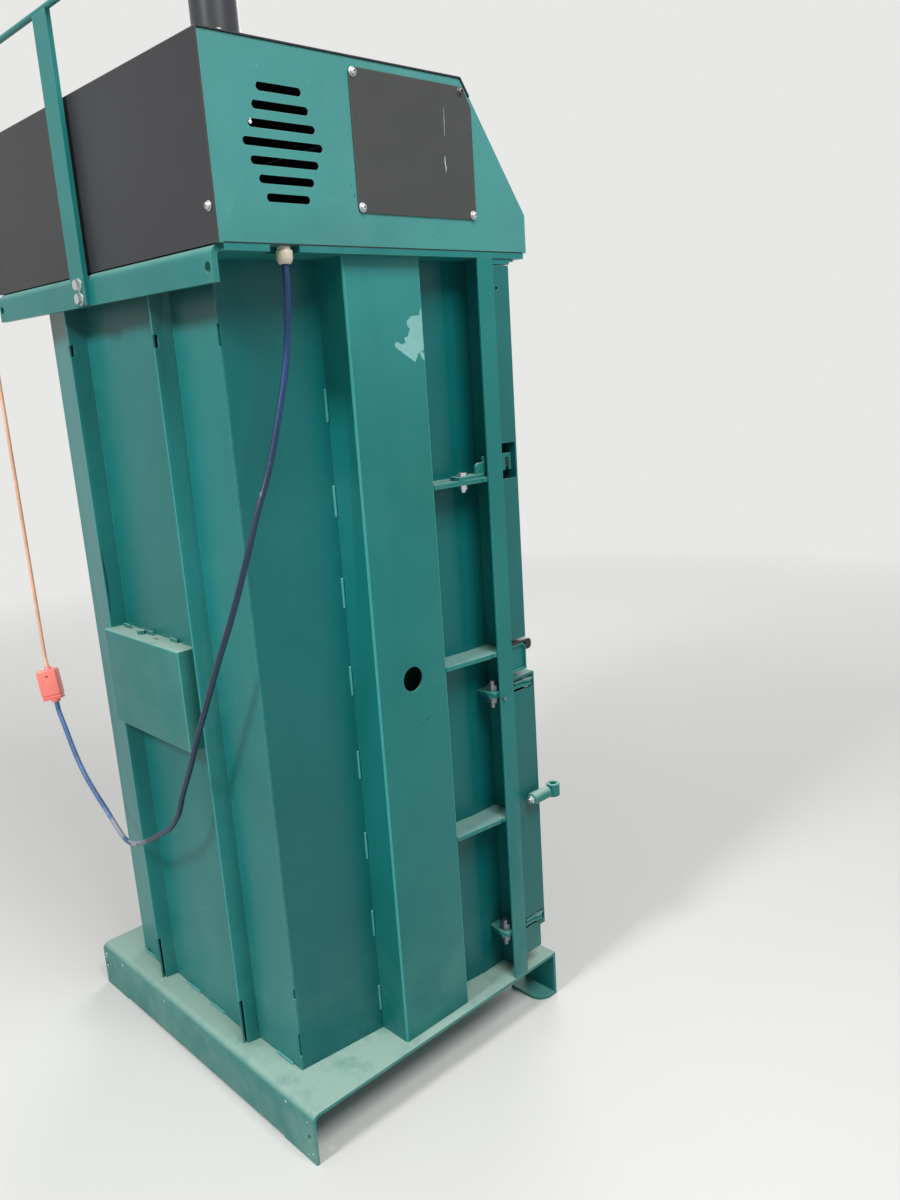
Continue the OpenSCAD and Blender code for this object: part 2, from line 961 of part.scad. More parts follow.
/* Inside the housing */

module electrical_box() {
    p = access_line(access_margin - 8);
    depth = 74;
    wall = 3;
    foot = [p[4][0], p[4][1]];
    top = [p[0][0], p[3][1]];
    units = [[44, 62], [44, 62], [36, 62], [70, 40]];
    color([0.62, 0.63, 0.62]) from_corner() {
        difference() {
            across(housing_sheet, depth)
                polygon(box_points(foot, top));
            across(housing_sheet - 1, depth - wall + 1)
                polygon(box_points(foot + [wall, wall], top - [wall, wall]));
        }
        for (i = [0:len(units) - 1])
            translate([housing_sheet + depth - wall - units[i][1], foot[0] + 24 + i * 56, foot[1] + 70])
                cube([units[i][1], units[i][0], 76]);
    }
}

tank_size = [330, 210, 128];
tank_at = [centre_u + 85, -262];
motor_d = 148;
motor_z = crown_top + tank_size[2] + motor_d / 2 + 6;
motor_v = tank_at[1] + tank_size[1] / 2;
motor_start = tank_at[0] + 110;
motor_length = 205;
motor_shaft = 24;

module oil_tank() {
    color([0.20, 0.22, 0.24]) from_corner() {
        translate([tank_at[0], tank_at[1], crown_top])
            cube(tank_size);
        for (u = [motor_start + 30, motor_start + motor_length - 40])
            translate([u, motor_v - 50, crown_top + tank_size[2]])
                cube([16, 100, 6]);
    }
}

module motor_housing() {
    shell = 8;
    fins = 16;
    color([0.28, 0.36, 0.42]) from_corner()
        difference() {
            union() {
                bar_u(motor_start, motor_length, motor_v, motor_z, motor_d - 12);
                for (i = [0:fins - 1])
                    translate([motor_start + 20, motor_v, motor_z])
                        rotate([i * 360 / fins, 0, 0])
                            translate([0, -2, motor_d / 2 - 10])
                                cube([motor_length - 60, 4, 10]);
                for (u = [motor_start + 30, motor_start + motor_length - 40])
                    translate([u, motor_v - 50, crown_top + tank_size[2] + 6])
                        cube([16, 100, 22]);
            }
            bar_u(motor_start + shell, motor_length - 2 * shell, motor_v, motor_z, motor_d - 12 - 2 * shell);
            bar_u(motor_start - 1, shell + 2, motor_v, motor_z, motor_shaft + 2 * running_gap);
            for (ring = [30, 50])
                for (i = [0:7])
                    translate([motor_start + motor_length - shell - 1, motor_v, motor_z])
                        rotate([i * 45, 0, 0])
                            translate([0, 0, ring])
                                rotate([0, 90, 0])
                                    cylinder(d = 12, h = shell + 2);
        }
}

module motor_rotor() {
    blades = 8;
    fan_start = motor_start + motor_length - 40;
    color(steel) from_corner() {
        bar_u(motor_start - 24, motor_length + 6, motor_v, motor_z, motor_shaft);
        bar_u(motor_start + 20, motor_length - 90, motor_v, motor_z, 84);
        bar_u(fan_start, 20, motor_v, motor_z, 44);
        for (i = [0:blades - 1])
            translate([fan_start, motor_v, motor_z])
                rotate([i * 360 / blades, 0, 0])
                    translate([0, -1.5, 18])
                        cube([20, 3, 36]);
    }
}

module hydraulic_pump() {
    color(steel) from_corner() {
        difference() {
            bar_u(motor_start - 50, 50, motor_v, motor_z, 96);
            bar_u(motor_start - 44, 45, motor_v, motor_z, 76);
        }
        bar_u(motor_start - 100, 50, motor_v, motor_z, 70);
        translate([motor_start - 100, motor_v - 20, crown_top + tank_size[2]])
            cube([50, 40, motor_z - crown_top - tank_size[2]]);
    }
}

valve_size = [84, 70, 96];
valve_at = [tank_at[0] + 8, press_v - 35];

module valve_block() {
    coil = 34;
    color([0.35, 0.37, 0.40]) from_corner() {
        translate([valve_at[0], valve_at[1], crown_top])
            cube(valve_size);
        translate([valve_at[0] + valve_size[0], valve_at[1] + 20, crown_top + 60])
            cube([50, coil, coil]);
    }
}

pipe_d = 14;
riser_u = centre_u + barrel_d / 2 + 14;

// Pressed pipes from the valve block to both ends of the cylinder
module hydraulic_pipes() {
    side_u = centre_u + barrel_d / 2;
    low_z = crown_top + 70;
    valve_top = crown_top + valve_size[2];
    bend_z = valve_top + 52;
    out_u = valve_at[0] + 17;
    high_z = cap_z + 14;
    color(steel) from_corner() {
        bar_u(side_u, valve_at[0] - side_u, press_v, low_z, pipe_d);
        translate([out_u, press_v, valve_top])
            cylinder(d = pipe_d, h = bend_z - valve_top);
        bar_u(riser_u, out_u - riser_u, press_v, bend_z, pipe_d);
        translate([riser_u, press_v, bend_z])
            cylinder(d = pipe_d, h = high_z - bend_z);
        bar_u(centre_u + cap_d / 2, riser_u - centre_u - cap_d / 2, press_v, high_z, pipe_d);
        for (corner = [[out_u, bend_z], [riser_u, bend_z], [riser_u, high_z]])
            translate([corner[0], press_v, corner[1]])
                sphere(d = pipe_d);
    }
}

/* The press */

cap_d = barrel_d + 10;
piston_height = 42;
flange_bolt_d = 16;
flange_bolts = [for (i = [-1, 1], j = [-1, 1])
    [centre_u + i * (flange_size / 2 - 20), press_v + j * (flange_size / 2 - 20)]];
gland_length = 40;
gland_wall = 12;
piston_gap = 4;
barrel_length = stroke + piston_height + gland_length - flange_plate + 2 * piston_gap;
cap_z = crown_top + flange_plate + barrel_length;
piston_z = cap_z - piston_gap - piston_height;

module cylinder_flange() {
    color(coal) from_corner() {
        difference() {
            translate([centre_u - flange_size / 2, press_v - flange_size / 2, crown_top])
                cube([flange_size, flange_size, flange_plate]);
            translate([centre_u, press_v, crown_top - 1])
                cylinder(d = barrel_bore, h = flange_plate + 2);
        }
        for (place = flange_bolts)
            translate([place[0], place[1], 0]) {
                translate([0, 0, crown_top + flange_plate])
                    hexagon(24, 10);
                translate([0, 0, chamber_top - 24])
                    cylinder(d = flange_bolt_d, h = crown_plate + 24);
                translate([0, 0, chamber_top - 14])
                    hexagon(24, 14);
            }
    }
}

module cylinder_barrel() {
    color(coal) from_corner()
        translate([centre_u, press_v, crown_top + flange_plate])
            difference() {
                cylinder(d = barrel_d, h = barrel_length);
                translate([0, 0, -1])
                    cylinder(d = barrel_bore, h = barrel_length + 2);
            }
}

module cylinder_cap() {
    color(coal) from_corner()
        translate([centre_u, press_v, cap_z]) {
            cylinder(d = cap_d, h = 28);
            translate([0, 0, 28])
                cylinder(d1 = cap_d, d2 = cap_d - 16, h = 8);
        }
}

module rod_gland() {
    foot = chamber_top - 6;
    color(steel) from_corner()
        translate([centre_u, press_v, 0])
            difference() {
                union() {
                    translate([0, 0, crown_top])
                        cylinder(d = barrel_bore, h = gland_length);
                    translate([0, 0, foot])
                        cylinder(d = rod_d + 2 * gland_wall, h = crown_top - foot + eps);
                }
                translate([0, 0, foot - 1])
                    cylinder(d = rod_d + 2 * running_gap, h = crown_top - foot + gland_length + 2);
            }
}

module piston_rod() {
    rod_foot = platen_rest + platen_plate;
    color(zinc) from_corner()
        translate([centre_u, press_v, 0]) {
            translate([0, 0, rod_foot])
                cylinder(d = rod_d, h = piston_z - rod_foot + eps);
            translate([0, 0, piston_z])
                cylinder(d = barrel_bore - 2 * running_gap, h = piston_height);
        }
}

// Outline of the press plate, tapered as the chamber is
function platen_line(shrink) = let (
        gap = platen_gap + wall_sheet + shrink,
        back = wall_back_v - gap,
        front = post_front_v + 8 + shrink
    ) [
        [wall_u(back) + gap, back],
        [2 * centre_u - wall_u(back) - gap, back],
        [2 * centre_u - wall_u(taper_end_v) - gap, taper_end_v],
        [2 * centre_u - wall_u(taper_end_v) - gap, front],
        [wall_u(taper_end_v) + gap, front],
        [wall_u(taper_end_v) + gap, taper_end_v]
    ];

module press_plate() {
    rib = 10;
    boss = [120, 30];
    groove = 20;
    color(teal) from_corner() {
        difference() {
            union() {
                slab(platen_rest, platen_plate)
                    polygon(platen_line(0));
                slab(platen_rest + platen_plate, platen_rib)
                    difference() {
                        polygon(platen_line(10));
                        polygon(platen_line(10 + rib));
                    }
                intersection() {
                    slab(platen_rest + platen_plate, platen_rib)
                        polygon(platen_line(10));
                    union() {
                        for (du = [-130, 130])
                            translate([centre_u + du - rib / 2, -base_depth, platen_rest + platen_plate])
                                cube([rib, base_depth, platen_rib]);
                        for (dv = [-120, 120])
                            translate([0, press_v + dv - rib / 2, platen_rest + platen_plate])
                                cube([base_width, rib, platen_rib]);
                    }
                }
            }
            for (u = channel_us)
                translate([u + channel_width / 2, -base_depth, platen_rest - 1])
                    cube([groove, base_depth, platen_plate / 2 + 1]);
        }
        translate([centre_u, press_v, platen_rest + platen_plate])
            difference() {
                cylinder(d = boss[0], h = boss[1]);
                translate([0, 0, -1])
                    cylinder(d = rod_d, h = boss[1] + 2);
            }
    }
}

// Plastic pads at the sides of the press plate that run along the walls
module slide_shoes() {
    pad = [60, 44];
    gap = 2;
    thick = 10;
    color([0.85, 0.85, 0.82]) from_corner()
        for (side = [0, 1])
            for (v = [-180, -470])
                slab(platen_rest + platen_plate + 8, pad[1])
                    shoe_outline(side, v, pad[0], thick, gap);
}

module shoe_outline(side, v, length, thick, gap) {
    inward = side == 0 ? 1 : -1;
    far = platen_gap + wall_sheet + 10;
    near = wall_sheet + gap;
    polygon([
        [side_wall_u(side, v) + inward * near, v],
        [side_wall_u(side, v) + inward * (far), v],
        [side_wall_u(side, v - length) + inward * (far), v - length],
        [side_wall_u(side, v - length) + inward * near, v - length]
    ]);
}

/* Trim at the back */

rack_bolt_d = 12;
rack_bolt_u = upright_at - 8;
rack_bolt_zs = [chamber_top - 36, chamber_top - 9];

module rack_upright() {
    foot = crown_top - ledge_height + 2;
    top = rail_height - 2;
    color(teal) from_corner()
        difference() {
            translate([upright_at - upright_width / 2, 0, foot])
                cube([upright_width, upright_plate, top - foot]);
            for (z = rack_bolt_zs)
                bar_v(rack_bolt_u, upright_plate + 1, z, upright_plate + 2, rack_bolt_d + 1);
            bar_u(0, base_width, upright_plate / 2, rail_height, rail_d);
        }
}

// Two bolts through the upright, threaded into the top plate's ledge
module rack_bolts() {
    color(zinc) from_corner()
        for (z = rack_bolt_zs)
            translate([rack_bolt_u, 0, z])
                rotate([-90, 30, 0]) {
                    translate([0, 0, -crown_plate])
                        cylinder(d = rack_bolt_d, h = crown_plate + upright_plate);
                    translate([0, 0, upright_plate])
                        cylinder(d = 26, h = 2);
                    translate([0, 0, upright_plate + 2])
                        hexagon(19, 8);
                }
}

rail_start = 20;
rail_end = hook_u - 6;

// Thin rail on the upright, with a ring at its far end that holds the lead
module rack_rail() {
    ring_height = 14;
    color(teal) from_corner()
        difference() {
            union() {
                bar_u(rail_start, rail_end - rail_start, upright_plate / 2, rail_height, rail_d);
                translate([hook_u, hook_v, rail_height - ring_height / 2])
                    cylinder(d = ring_d, h = ring_height);
            }
            translate([hook_u, hook_v, rail_height - ring_height / 2 - 1])
                cylinder(d = lead_d, h = ring_height + 2);
        }
}

// Folded box on the back wall: closed above and at its sides, open below
module back_cover_box() {
    sheet = 3;
    start_u = channel_us[0] + 41;
    tab = [30, 3, 9];
    top = box_foot + box_height;
    color(light_teal) from_corner() {
        difference() {
            translate([start_u, -wall_setback - 2, box_foot])
                cube([box_width, wall_setback + 2 - box_face, box_height]);
            translate([start_u + sheet, -wall_setback - 3, box_foot - 1])
                cube([box_width - 2 * sheet, wall_setback + 3 - box_face - sheet, box_height + 1 - sheet]);
            slab(box_foot - 1, box_height + 2)
                behind_wall();
        }
        for (at = [0.2, 0.52, 0.84])
            translate([start_u + box_width * at, -wall_setback + panel_rise + 3, top - eps])
                cube(tab);
        translate([start_u + 215, -46, top - eps])
            hexagon(17, 9);
    }
}

/* Latches and hinges */

lower_hinges = [850, 237];
upper_hinges = [1720, 1010];
upper_ear_round = 15;
hinge_v_lower = lower_front_v + door_sheet + ear_round + 1;
hinge_v_upper = upper_front_v + door_sheet + upper_ear_round + 1;
bracket_plate = 8;
bolt_v = -622;
bolt_u = front_margin - 36;
stud_d = 16;

// Fixed ear: bolted to a bracket in the corner, then out past the inside of the post to the hinge axis
module fixed_ear(axis_v, r, z) {
    tab = 10;
    slab(z, ear_plate)
        difference() {
            union() {
                translate([post_sheet + 3, axis_v])
                    square([hinge_inset + r - post_sheet - 3, bolt_v - axis_v + 18]);
                translate([door_inset, axis_v])
                    square([hinge_inset + r - door_inset, door_back_v - axis_v]);
                translate([0, post_front_v + 1])
                    square([tab, 2 * tab]);
                translate([hinge_inset, axis_v])
                    circle(r = r);
                translate([bolt_u, bolt_v])
                    circle(r = 20);
            }
            translate([bolt_u, bolt_v])
                circle(d = stud_d);
            translate([hinge_inset, axis_v])
                circle(d = hinge_pin);
        }
}

// Diamond bracket welded to the wall behind the post, on either side
module hinge_bracket(side, z) {
    ahead = 24;
    behind = 6;
    slab(z - bracket_plate, bracket_plate)
        difference() {
            polygon([
                [wall_reach(side, bolt_v + behind), bolt_v + behind],
                [bolt_u - 8, bolt_v + 19],
                [bolt_u - 21, bolt_v],
                [bolt_u - 8, bolt_v - 19],
                [wall_reach(side, bolt_v - ahead), bolt_v - ahead]
            ]);
            translate([bolt_u, bolt_v])
                circle(d = stud_d);
        }
}

module hinge_brackets() {
    color(teal) from_corner() {
        for (z = lower_hinges) {
            hinge_bracket(0, z);
            fixed_ear(hinge_v_lower, ear_round, z);
        }
        right_hand()
            for (z = upper_hinges) {
                hinge_bracket(1, z);
                fixed_ear(hinge_v_upper, upper_ear_round, z);
            }
    }
}

module hinge_stud(z) {
    translate([bolt_u, bolt_v, 0]) {
        translate([0, 0, z - bracket_plate - 26])
            cylinder(d = stud_d, h = bracket_plate + ear_plate + 50);
        translate([0, 0, z - bracket_plate - 14])
            hexagon(24, 14);
        translate([0, 0, z + ear_plate])
            hexagon(24, 14);
    }
}

module hinge_bolts() {
    color(zinc) from_corner() {
        for (z = lower_hinges)
            hinge_stud(z);
        bar_u(-7, 7, post_back_v - 8, lower_hinges[0] - 8, 8);
        right_hand()
            for (z = upper_hinges)
                hinge_stud(z);
    }
}

ear_gap = 3;

module hinge_pin_at(axis_v, z) {
    head = 3.5;
    translate([hinge_inset, axis_v, z]) {
        translate([0, 0, -3])
            cylinder(d = hinge_pin, h = 2 * ear_plate + ear_gap + 3.4);
        translate([0, 0, 2 * ear_plate + ear_gap + 0.4])
            cylinder(d = hinge_pin + 8, h = head);
        translate([0, 0, -6])
            cylinder(d = hinge_pin + 6, h = 6);
    }
}

module hinge_pins() {
    color(zinc) from_corner() {
        for (z = lower_hinges)
            hinge_pin_at(hinge_v_lower, z);
        right_hand()
            for (z = upper_hinges)
                hinge_pin_at(hinge_v_upper, z);
    }
}

// Ear on the door, above the fixed ear
module door_ear(axis_v, r, z, front_v) {
    reach = 58;
    slab(z + ear_plate + ear_gap, ear_plate)
        difference() {
            union() {
                translate([hinge_inset, axis_v])
                    circle(r = r);
                translate([door_inset, front_v + door_sheet])
                    square([reach - door_inset, door_back_v - door_sheet - front_v - door_sheet]);
            }
            translate([hinge_inset, axis_v])
                circle(d = hinge_pin + 2 * running_gap);
        }
}

module lower_door_ears() {
    color(light_teal) from_corner()
        for (z = lower_hinges)
            door_ear(hinge_v_lower, ear_round, z, lower_front_v);
}

module upper_door_ears() {
    color(light_teal) from_corner()
        right_hand()
            for (z = upper_hinges)
                door_ear(hinge_v_upper, upper_ear_round, z, upper_front_v);
}

door_width = base_width - 2 * door_inset;

// Room in the door's side for the fixed ears and pins
module ear_windows(zs, front_v) {
    for (z = zs)
        translate([door_inset - 1, front_v + door_sheet, z - 7])
            cube([hinge_inset + ear_round + 8, door_back_v - front_v + 1, 2 * ear_plate + ear_gap + 13]);
}

// Box door: pressing skin behind, outer skin in front, edges all round and cross ribs inside
module box_door(front_v, foot, top, catch_side, catch_z, hinges, ribs) {
    skin = door_sheet;
    depth = door_back_v - front_v;
    room = [door_width, depth, top - foot] - 2 * [skin, skin, skin];
    window = [34, 44];
    difference() {
        union() {
            difference() {
                translate([door_inset, front_v, foot])
                    cube([door_width, depth, top - foot]);
                translate([door_inset + skin, front_v + skin, foot + skin])
                    cube(room);
            }
            for (z = ribs)
                translate([door_inset + skin, front_v + skin, z])
                    cube([room[0], 20, 6]);
            on_side(catch_side)
                translate([catch_u - catch_pad / 2, front_v + skin, catch_z - catch_pad / 2])
                    cube([catch_pad, catch_back - front_v - skin, catch_pad]);
        }
        on_side(catch_side) {
            translate([door_inset - 1, front_v + skin, catch_z - window[0]])
                cube([skin + 2, depth, window[0] + window[1]]);
            translate([door_inset, door_back_v - skin - 1, catch_z - window[0]])
                cube([window[1], skin + 2, window[0] + window[1]]);
            bar_v(catch_u, catch_back + 1, catch_z, catch_back - front_v + 2, catch_shaft + 2 * running_gap);
        }
        on_side(1 - catch_side)
            ear_windows(hinges, front_v);
    }
}

module lower_door() {
    skin = door_sheet;
    slot = [16, 45];
    color(teal) from_corner()
        difference() {
            union() {
                box_door(lower_front_v, lower_foot, lower_top, 1, lower_catch_z, lower_hinges, [400, 700]);
                difference() {
                    translate([door_inset, apron_front_v, apron_foot])
                        cube([door_width, apron_depth, lower_foot - apron_foot]);
                    translate([door_inset + skin, apron_front_v + skin, apron_foot + skin])
                        cube([door_width - 2 * skin, apron_depth - 2 * skin, lower_foot - apron_foot]);
                }
            }
            for (u = channel_us)
                translate([u + channel_width / 2, lower_front_v - 1, lower_foot + slot[1]])
                    cube([slot[0], lower_depth + 2, lower_top - lower_foot - 2 * slot[1]]);
        }
}

module upper_door() {
    color(teal) from_corner()
        difference() {
            box_door(upper_front_v, upper_foot, upper_top, 0, upper_catch_z, upper_hinges, [1180, 1520]);
            bar_u(door_inset - 1, door_sheet + 2, door_back_v - 8, upper_top - 46, 8);
        }
}

upper_catch_z = gusset_high + 24;
lower_catch_z = gusset_low + 24;
catch_u = 62;
catch_pad = 44;
cam_thick = 8;
catch_back = upper_front_v + 14;
cam_v = catch_back + 0.5 + cam_thick;
striker_bolt = [26, -562];

// Striker: a plate bolted on the gusset and an upright lug with a notch for the catch
module striker(z) {
    plate = striker_plate;
    lug_start = -596;
    lug_front = -621;
    lug_round = 12;
    lug_end = upper_front_v + door_sheet + 2;
    slab(z, plate)
        difference() {
            translate([14, lug_start - 20])
                square([32, 72]);
            translate(striker_bolt)
                circle(d = 12);
        }
    difference() {
        across(lug_u, lug[0]) {
            translate([lug_end, z + plate])
                square([lug_front - lug_end, lug[1]]);
            translate([lug_end, z + plate])
                square([lug_start - lug_end - lug_round, 2 * lug_round]);
            translate([lug_start - lug_round, z + plate])
                square(lug_round);
            translate([lug_start - lug_round, z + plate + lug_round])
                circle(lug_round);
        }
        translate([lug_u - 1, cam_v - cam_thick - 1.5, z + plate - 1])
            cube([lug[0] + 2, cam_thick + 3, 28]);
    }
}

module strikers() {
    color(light_teal) from_corner() {
        striker(gusset_high);
        right_hand()
            striker(gusset_low);
    }
}

module striker_bolts() {
    color(zinc) from_corner() {
        bolt_through(gusset_high);
        right_hand()
            bolt_through(gusset_low);
    }
}

// Bolt through a striker and its gusset, with its nut below
module bolt_through(z) {
    translate([striker_bolt[0], striker_bolt[1], z]) {
        translate([0, 0, 8])
            hexagon(19, 8);
        translate([0, 0, -gusset_plate - 16])
            cylinder(d = 12, h = gusset_plate + 24);
        translate([0, 0, -gusset_plate - 10])
            hexagon(19, 10);
    }
}

// Catch: a shaft through the door, a cam arm inside and a lever handle in front
module catch(z, front_v) {
    grip = [24, 130];
    hub = [40, 26];
    bar_v(catch_u, cam_v, z, cam_v - front_v + 12, catch_shaft);
    translate([catch_u, cam_v, z])
        rotate([90, 0, 0])
            linear_extrude(height = cam_thick) {
                circle(d = 34);
                translate([-catch_arm, -9])
                    square([catch_arm, 18]);
            }
    bar_v(catch_u, front_v - 0.5, z, hub[1], hub[0]);
    translate([catch_u, front_v - 10, z])
        rotate([90, 0, 0])
            linear_extrude(height = 14) {
                translate([-grip[0] / 2, -grip[1]])
                    square([grip[0], grip[1]]);
                translate([0, -grip[1]])
                    circle(d = grip[0]);
            }
}

module upper_catch() {
    color(coal) from_corner()
        catch(upper_catch_z, upper_front_v);
}

module lower_catch() {
    color(coal) from_corner()
        right_hand()
            catch(lower_catch_z, lower_front_v);
}

// Boss on the door's edge with a stud, a nut behind and an upright eye in front
module eye_bolt() {
    boss_z = 571;
    boss_v = -691;
    stud_v = boss_v + 12;
    pad = [door_inset - boss_u, 45, 16];
    color(light_teal) from_corner() {
        bar_v(boss_u, boss_v, boss_z, 55, boss_d);
        translate([boss_u, boss_v - 50, boss_z - pad[2] / 2])
            cube(pad);
        bar_v(boss_u, stud_v, boss_z, stud_v - eye_v - 12, 12);
        translate([boss_u, boss_v, boss_z])
            rotate([-90, 0, 0])
                hexagon(19, 8);
        difference() {
            translate([boss_u, eye_v, boss_z - 16])
                cylinder(d = eye_d, h = 32);
            translate([boss_u, eye_v, boss_z - 17])
                cylinder(d = 17, h = 34);
        }
    }
}

/* Cable, connector and lead */

module cable_gland() {
    foot = cable_route[0][2] + 0.1;
    body_h = 19;
    color(ivory) from_corner()
        translate([gland_u, gland_v, 0]) {
            translate([0, 0, foot + 8])
                cylinder(d = 30, h = body_h - 4);
            translate([0, 0, foot])
                cylinder(d1 = 22, d2 = 30, h = 8 + eps);
            translate([0, 0, foot + body_h])
                cylinder(d = 24, h = crown_top - foot - body_h);
            translate([0, 0, crown_top - eps])
                cylinder(d = 20, h = housing_sheet + 2 * eps);
            translate([0, 0, crown_top + housing_sheet])
                rotate([0, 0, 30])
                    hexagon(25, 6);
        }
}

// Point on a smooth curve through four route points
function curve(a, b, c, d, t) = 0.5 * (2 * b + (c - a) * t + (2 * a - 5 * b + 4 * c - d) * t * t
    + (3 * b - a - 3 * c + d) * t * t * t);

function route(p, steps) = let (n = len(p) - 1) concat([for (i = [0:n - 1], k = [0:steps - 1])
    curve(p[max(i - 1, 0)], p[i], p[i + 1], p[min(i + 2, n)], k / steps)], [p[n]]);

// A round tube along a line of points, closed at both ends
module tube(p, d, sides) {
    n = len(p);
    ways = [for (i = [0:n - 1]) unit(p[min(i + 1, n - 1)] - p[max(i - 1, 0)])];
    rings = [for (i = [0:n - 1])
        let (a = unit(cross(ways[i], [0, 1, 0])), b = cross(a, ways[i]))
        for (k = [0:sides - 1])
            p[i] + d / 2 * (a * cos(k * 360 / sides) + b * sin(k * 360 / sides))];
    walls = [for (i = [0:n - 2], k = [0:sides - 1])
        let (m = (k + 1) % sides)
            [i * sides + k, i * sides + m, (i + 1) * sides + m, (i + 1) * sides + k]];
    start = [[for (k = [sides - 1:-1:0]) k]];
    end = [[for (k = [0:sides - 1]) (n - 1) * sides + k]];
    polyhedron(points = rings, faces = concat(walls, start, end));
}

module power_cable() {
    color([0.16, 0.24, 0.52]) from_corner()
        tube(route(cable_route, 3), cable_d, 10);
}

module supply_lead() {
    color([0.90, 0.45, 0.22]) from_corner()
        tube(route(lead_route, 8), lead_d, 10);
}

// Moulded in-line connector between the cable and the lead
module supply_connector() {
    last = len(cable_route) - 1;
    axis = lead_route[0] - cable_route[last];
    gap = 0.15;
    low = cable_route[last] + gap * unit(axis);
    length = norm(axis) - 2 * gap;
    lean = atan2(axis[0], axis[2]);
    wide = [56, 46];
    aside = [8, 6];
    collar = 8;
    color([0.93, 0.48, 0.42]) from_corner()
        translate(low) rotate([0, lean, 0]) {
            cylinder(d1 = cable_d + 6, d2 = cable_d + 14, h = collar);
            translate([0, 0, collar])
                linear_extrude(height = length - 2 * collar)
                    polygon(rounded(box_points(aside - wide / 2, aside + wide / 2), 10));
            translate([0, 0, length - collar])
                cylinder(d1 = lead_d + 14, d2 = lead_d + 5, h = collar);
        }
}

base_plate();
front_feet();
back_wall();
left_side_wall();
right_side_wall();
left_column();
right_column();
left_post();
right_post();
left_gussets();
right_gussets();
stitch_welds();
top_plate();
front_header();
door_sill();
sill_lip();
left_housing_panel();
right_housing_panel();
top_cover();
control_panel();
access_plate();
housing_screws();
start_button();
return_button();
emergency_stop();
key_switch();
electrical_box();
oil_tank();
motor_housing();
motor_rotor();
hydraulic_pump();
valve_block();
hydraulic_pipes();
cylinder_flange();
cylinder_barrel();
cylinder_cap();
rod_gland();
piston_rod();
press_plate();
slide_shoes();
rack_upright();
rack_bolts();
rack_rail();
back_cover_box();
strikers();
striker_bolts();
hinge_brackets();
hinge_bolts();
hinge_pins();
lower_door();
lower_door_ears();
eye_bolt();
lower_catch();
upper_door();
upper_door_ears();
upper_catch();
cable_gland();
power_cable();
supply_connector();
supply_lead();
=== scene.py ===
"""Looks of an upright hydraulic recycling baler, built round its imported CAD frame.

Sizes are written in millimetres from the machine's rear left corner on the floor:
u runs right, v is negative towards the operator, z is up. place() turns them to metres
in the shared frame. Left and right are the operator's.
"""
import json
import logging
import math
from dataclasses import dataclass, field
from enum import Enum
from random import Random

import bmesh
import bpy
from mathutils import Matrix, Vector

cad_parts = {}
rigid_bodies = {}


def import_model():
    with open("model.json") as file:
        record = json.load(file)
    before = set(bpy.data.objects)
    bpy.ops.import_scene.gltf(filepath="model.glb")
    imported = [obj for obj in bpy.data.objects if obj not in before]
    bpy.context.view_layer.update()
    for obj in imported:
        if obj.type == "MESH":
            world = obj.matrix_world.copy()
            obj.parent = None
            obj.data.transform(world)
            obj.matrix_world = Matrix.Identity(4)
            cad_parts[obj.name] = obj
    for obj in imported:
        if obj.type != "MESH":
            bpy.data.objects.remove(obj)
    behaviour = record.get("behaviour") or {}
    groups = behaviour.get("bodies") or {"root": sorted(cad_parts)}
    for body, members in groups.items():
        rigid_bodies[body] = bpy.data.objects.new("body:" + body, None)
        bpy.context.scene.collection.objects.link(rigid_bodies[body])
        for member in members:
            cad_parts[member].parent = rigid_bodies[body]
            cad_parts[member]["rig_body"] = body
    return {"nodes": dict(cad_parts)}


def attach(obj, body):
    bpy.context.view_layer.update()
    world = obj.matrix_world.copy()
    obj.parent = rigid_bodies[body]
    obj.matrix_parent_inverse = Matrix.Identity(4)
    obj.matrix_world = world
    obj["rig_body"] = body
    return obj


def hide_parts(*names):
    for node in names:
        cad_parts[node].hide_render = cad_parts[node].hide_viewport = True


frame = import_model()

LOG = logging.getLogger("baler")
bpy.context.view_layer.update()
CORNER = Vector((-0.4865, 0.37975, 0.0))  # the machine's rear left corner in the frame
Socket = bpy.types.NodeSocket
Colour = tuple[float, float, float]
Point = tuple[float, float, float]
MM = 0.001
UP = Vector((0, 0, 1))
LEFT, REAR, ABOVE = (-1, 0, 0), (0, 1, 0), (0, 0, 1)
COLUMN_U, PLATE_U = 24, -3  # outer faces of the left column and the access plate
SAME_SPOT = 0.000002  # metres between vertices that are one
ONE_PLANE = math.radians(0.8)
WIDE_FLAT = 0.010  # least width of a flat beside a fold
LONG_FOLD = 0.08  # least length of a fold
FOLD_ANGLE = 0.52


def place(u: float, v: float, z: float) -> Vector:
    """Turn millimetres from the rear left corner into metres in the frame.

    Args:
        u: Distance to the right.
        v: Distance back, negative towards the front.
        z: Height above the floor.

    Returns:
        The point in the shared frame.
    """
    return CORNER + Vector((u, v, z)) * MM


def srgb(red: int, green: int, blue: int) -> Colour:
    """Turn a screen colour from 0 to 255 into linear light.

    Args:
        red: Red part.
        green: Green part.
        blue: Blue part.

    Returns:
        The three linear parts.
    """
    return tuple(((c / 255 + 0.055) / 1.055) ** 2.4 if c > 10 else c / 3294.6 for c in (red, green, blue))


class Body(Enum):
    """CAD bodies that pieces ride on."""

    FRAME = "frame"
    PRESS = "press"
    LOWER_DOOR = "lower_door"
    UPPER_DOOR = "upper_door"
    LOWER_CATCH = "lower_catch"
    UPPER_CATCH = "upper_catch"
    MOTOR_ROTOR = "motor_rotor"
    START_BUTTON = "start_button"
    RETURN_BUTTON = "return_button"
    EMERGENCY_STOP = "emergency_stop"
    KEY_SWITCH = "key_switch"


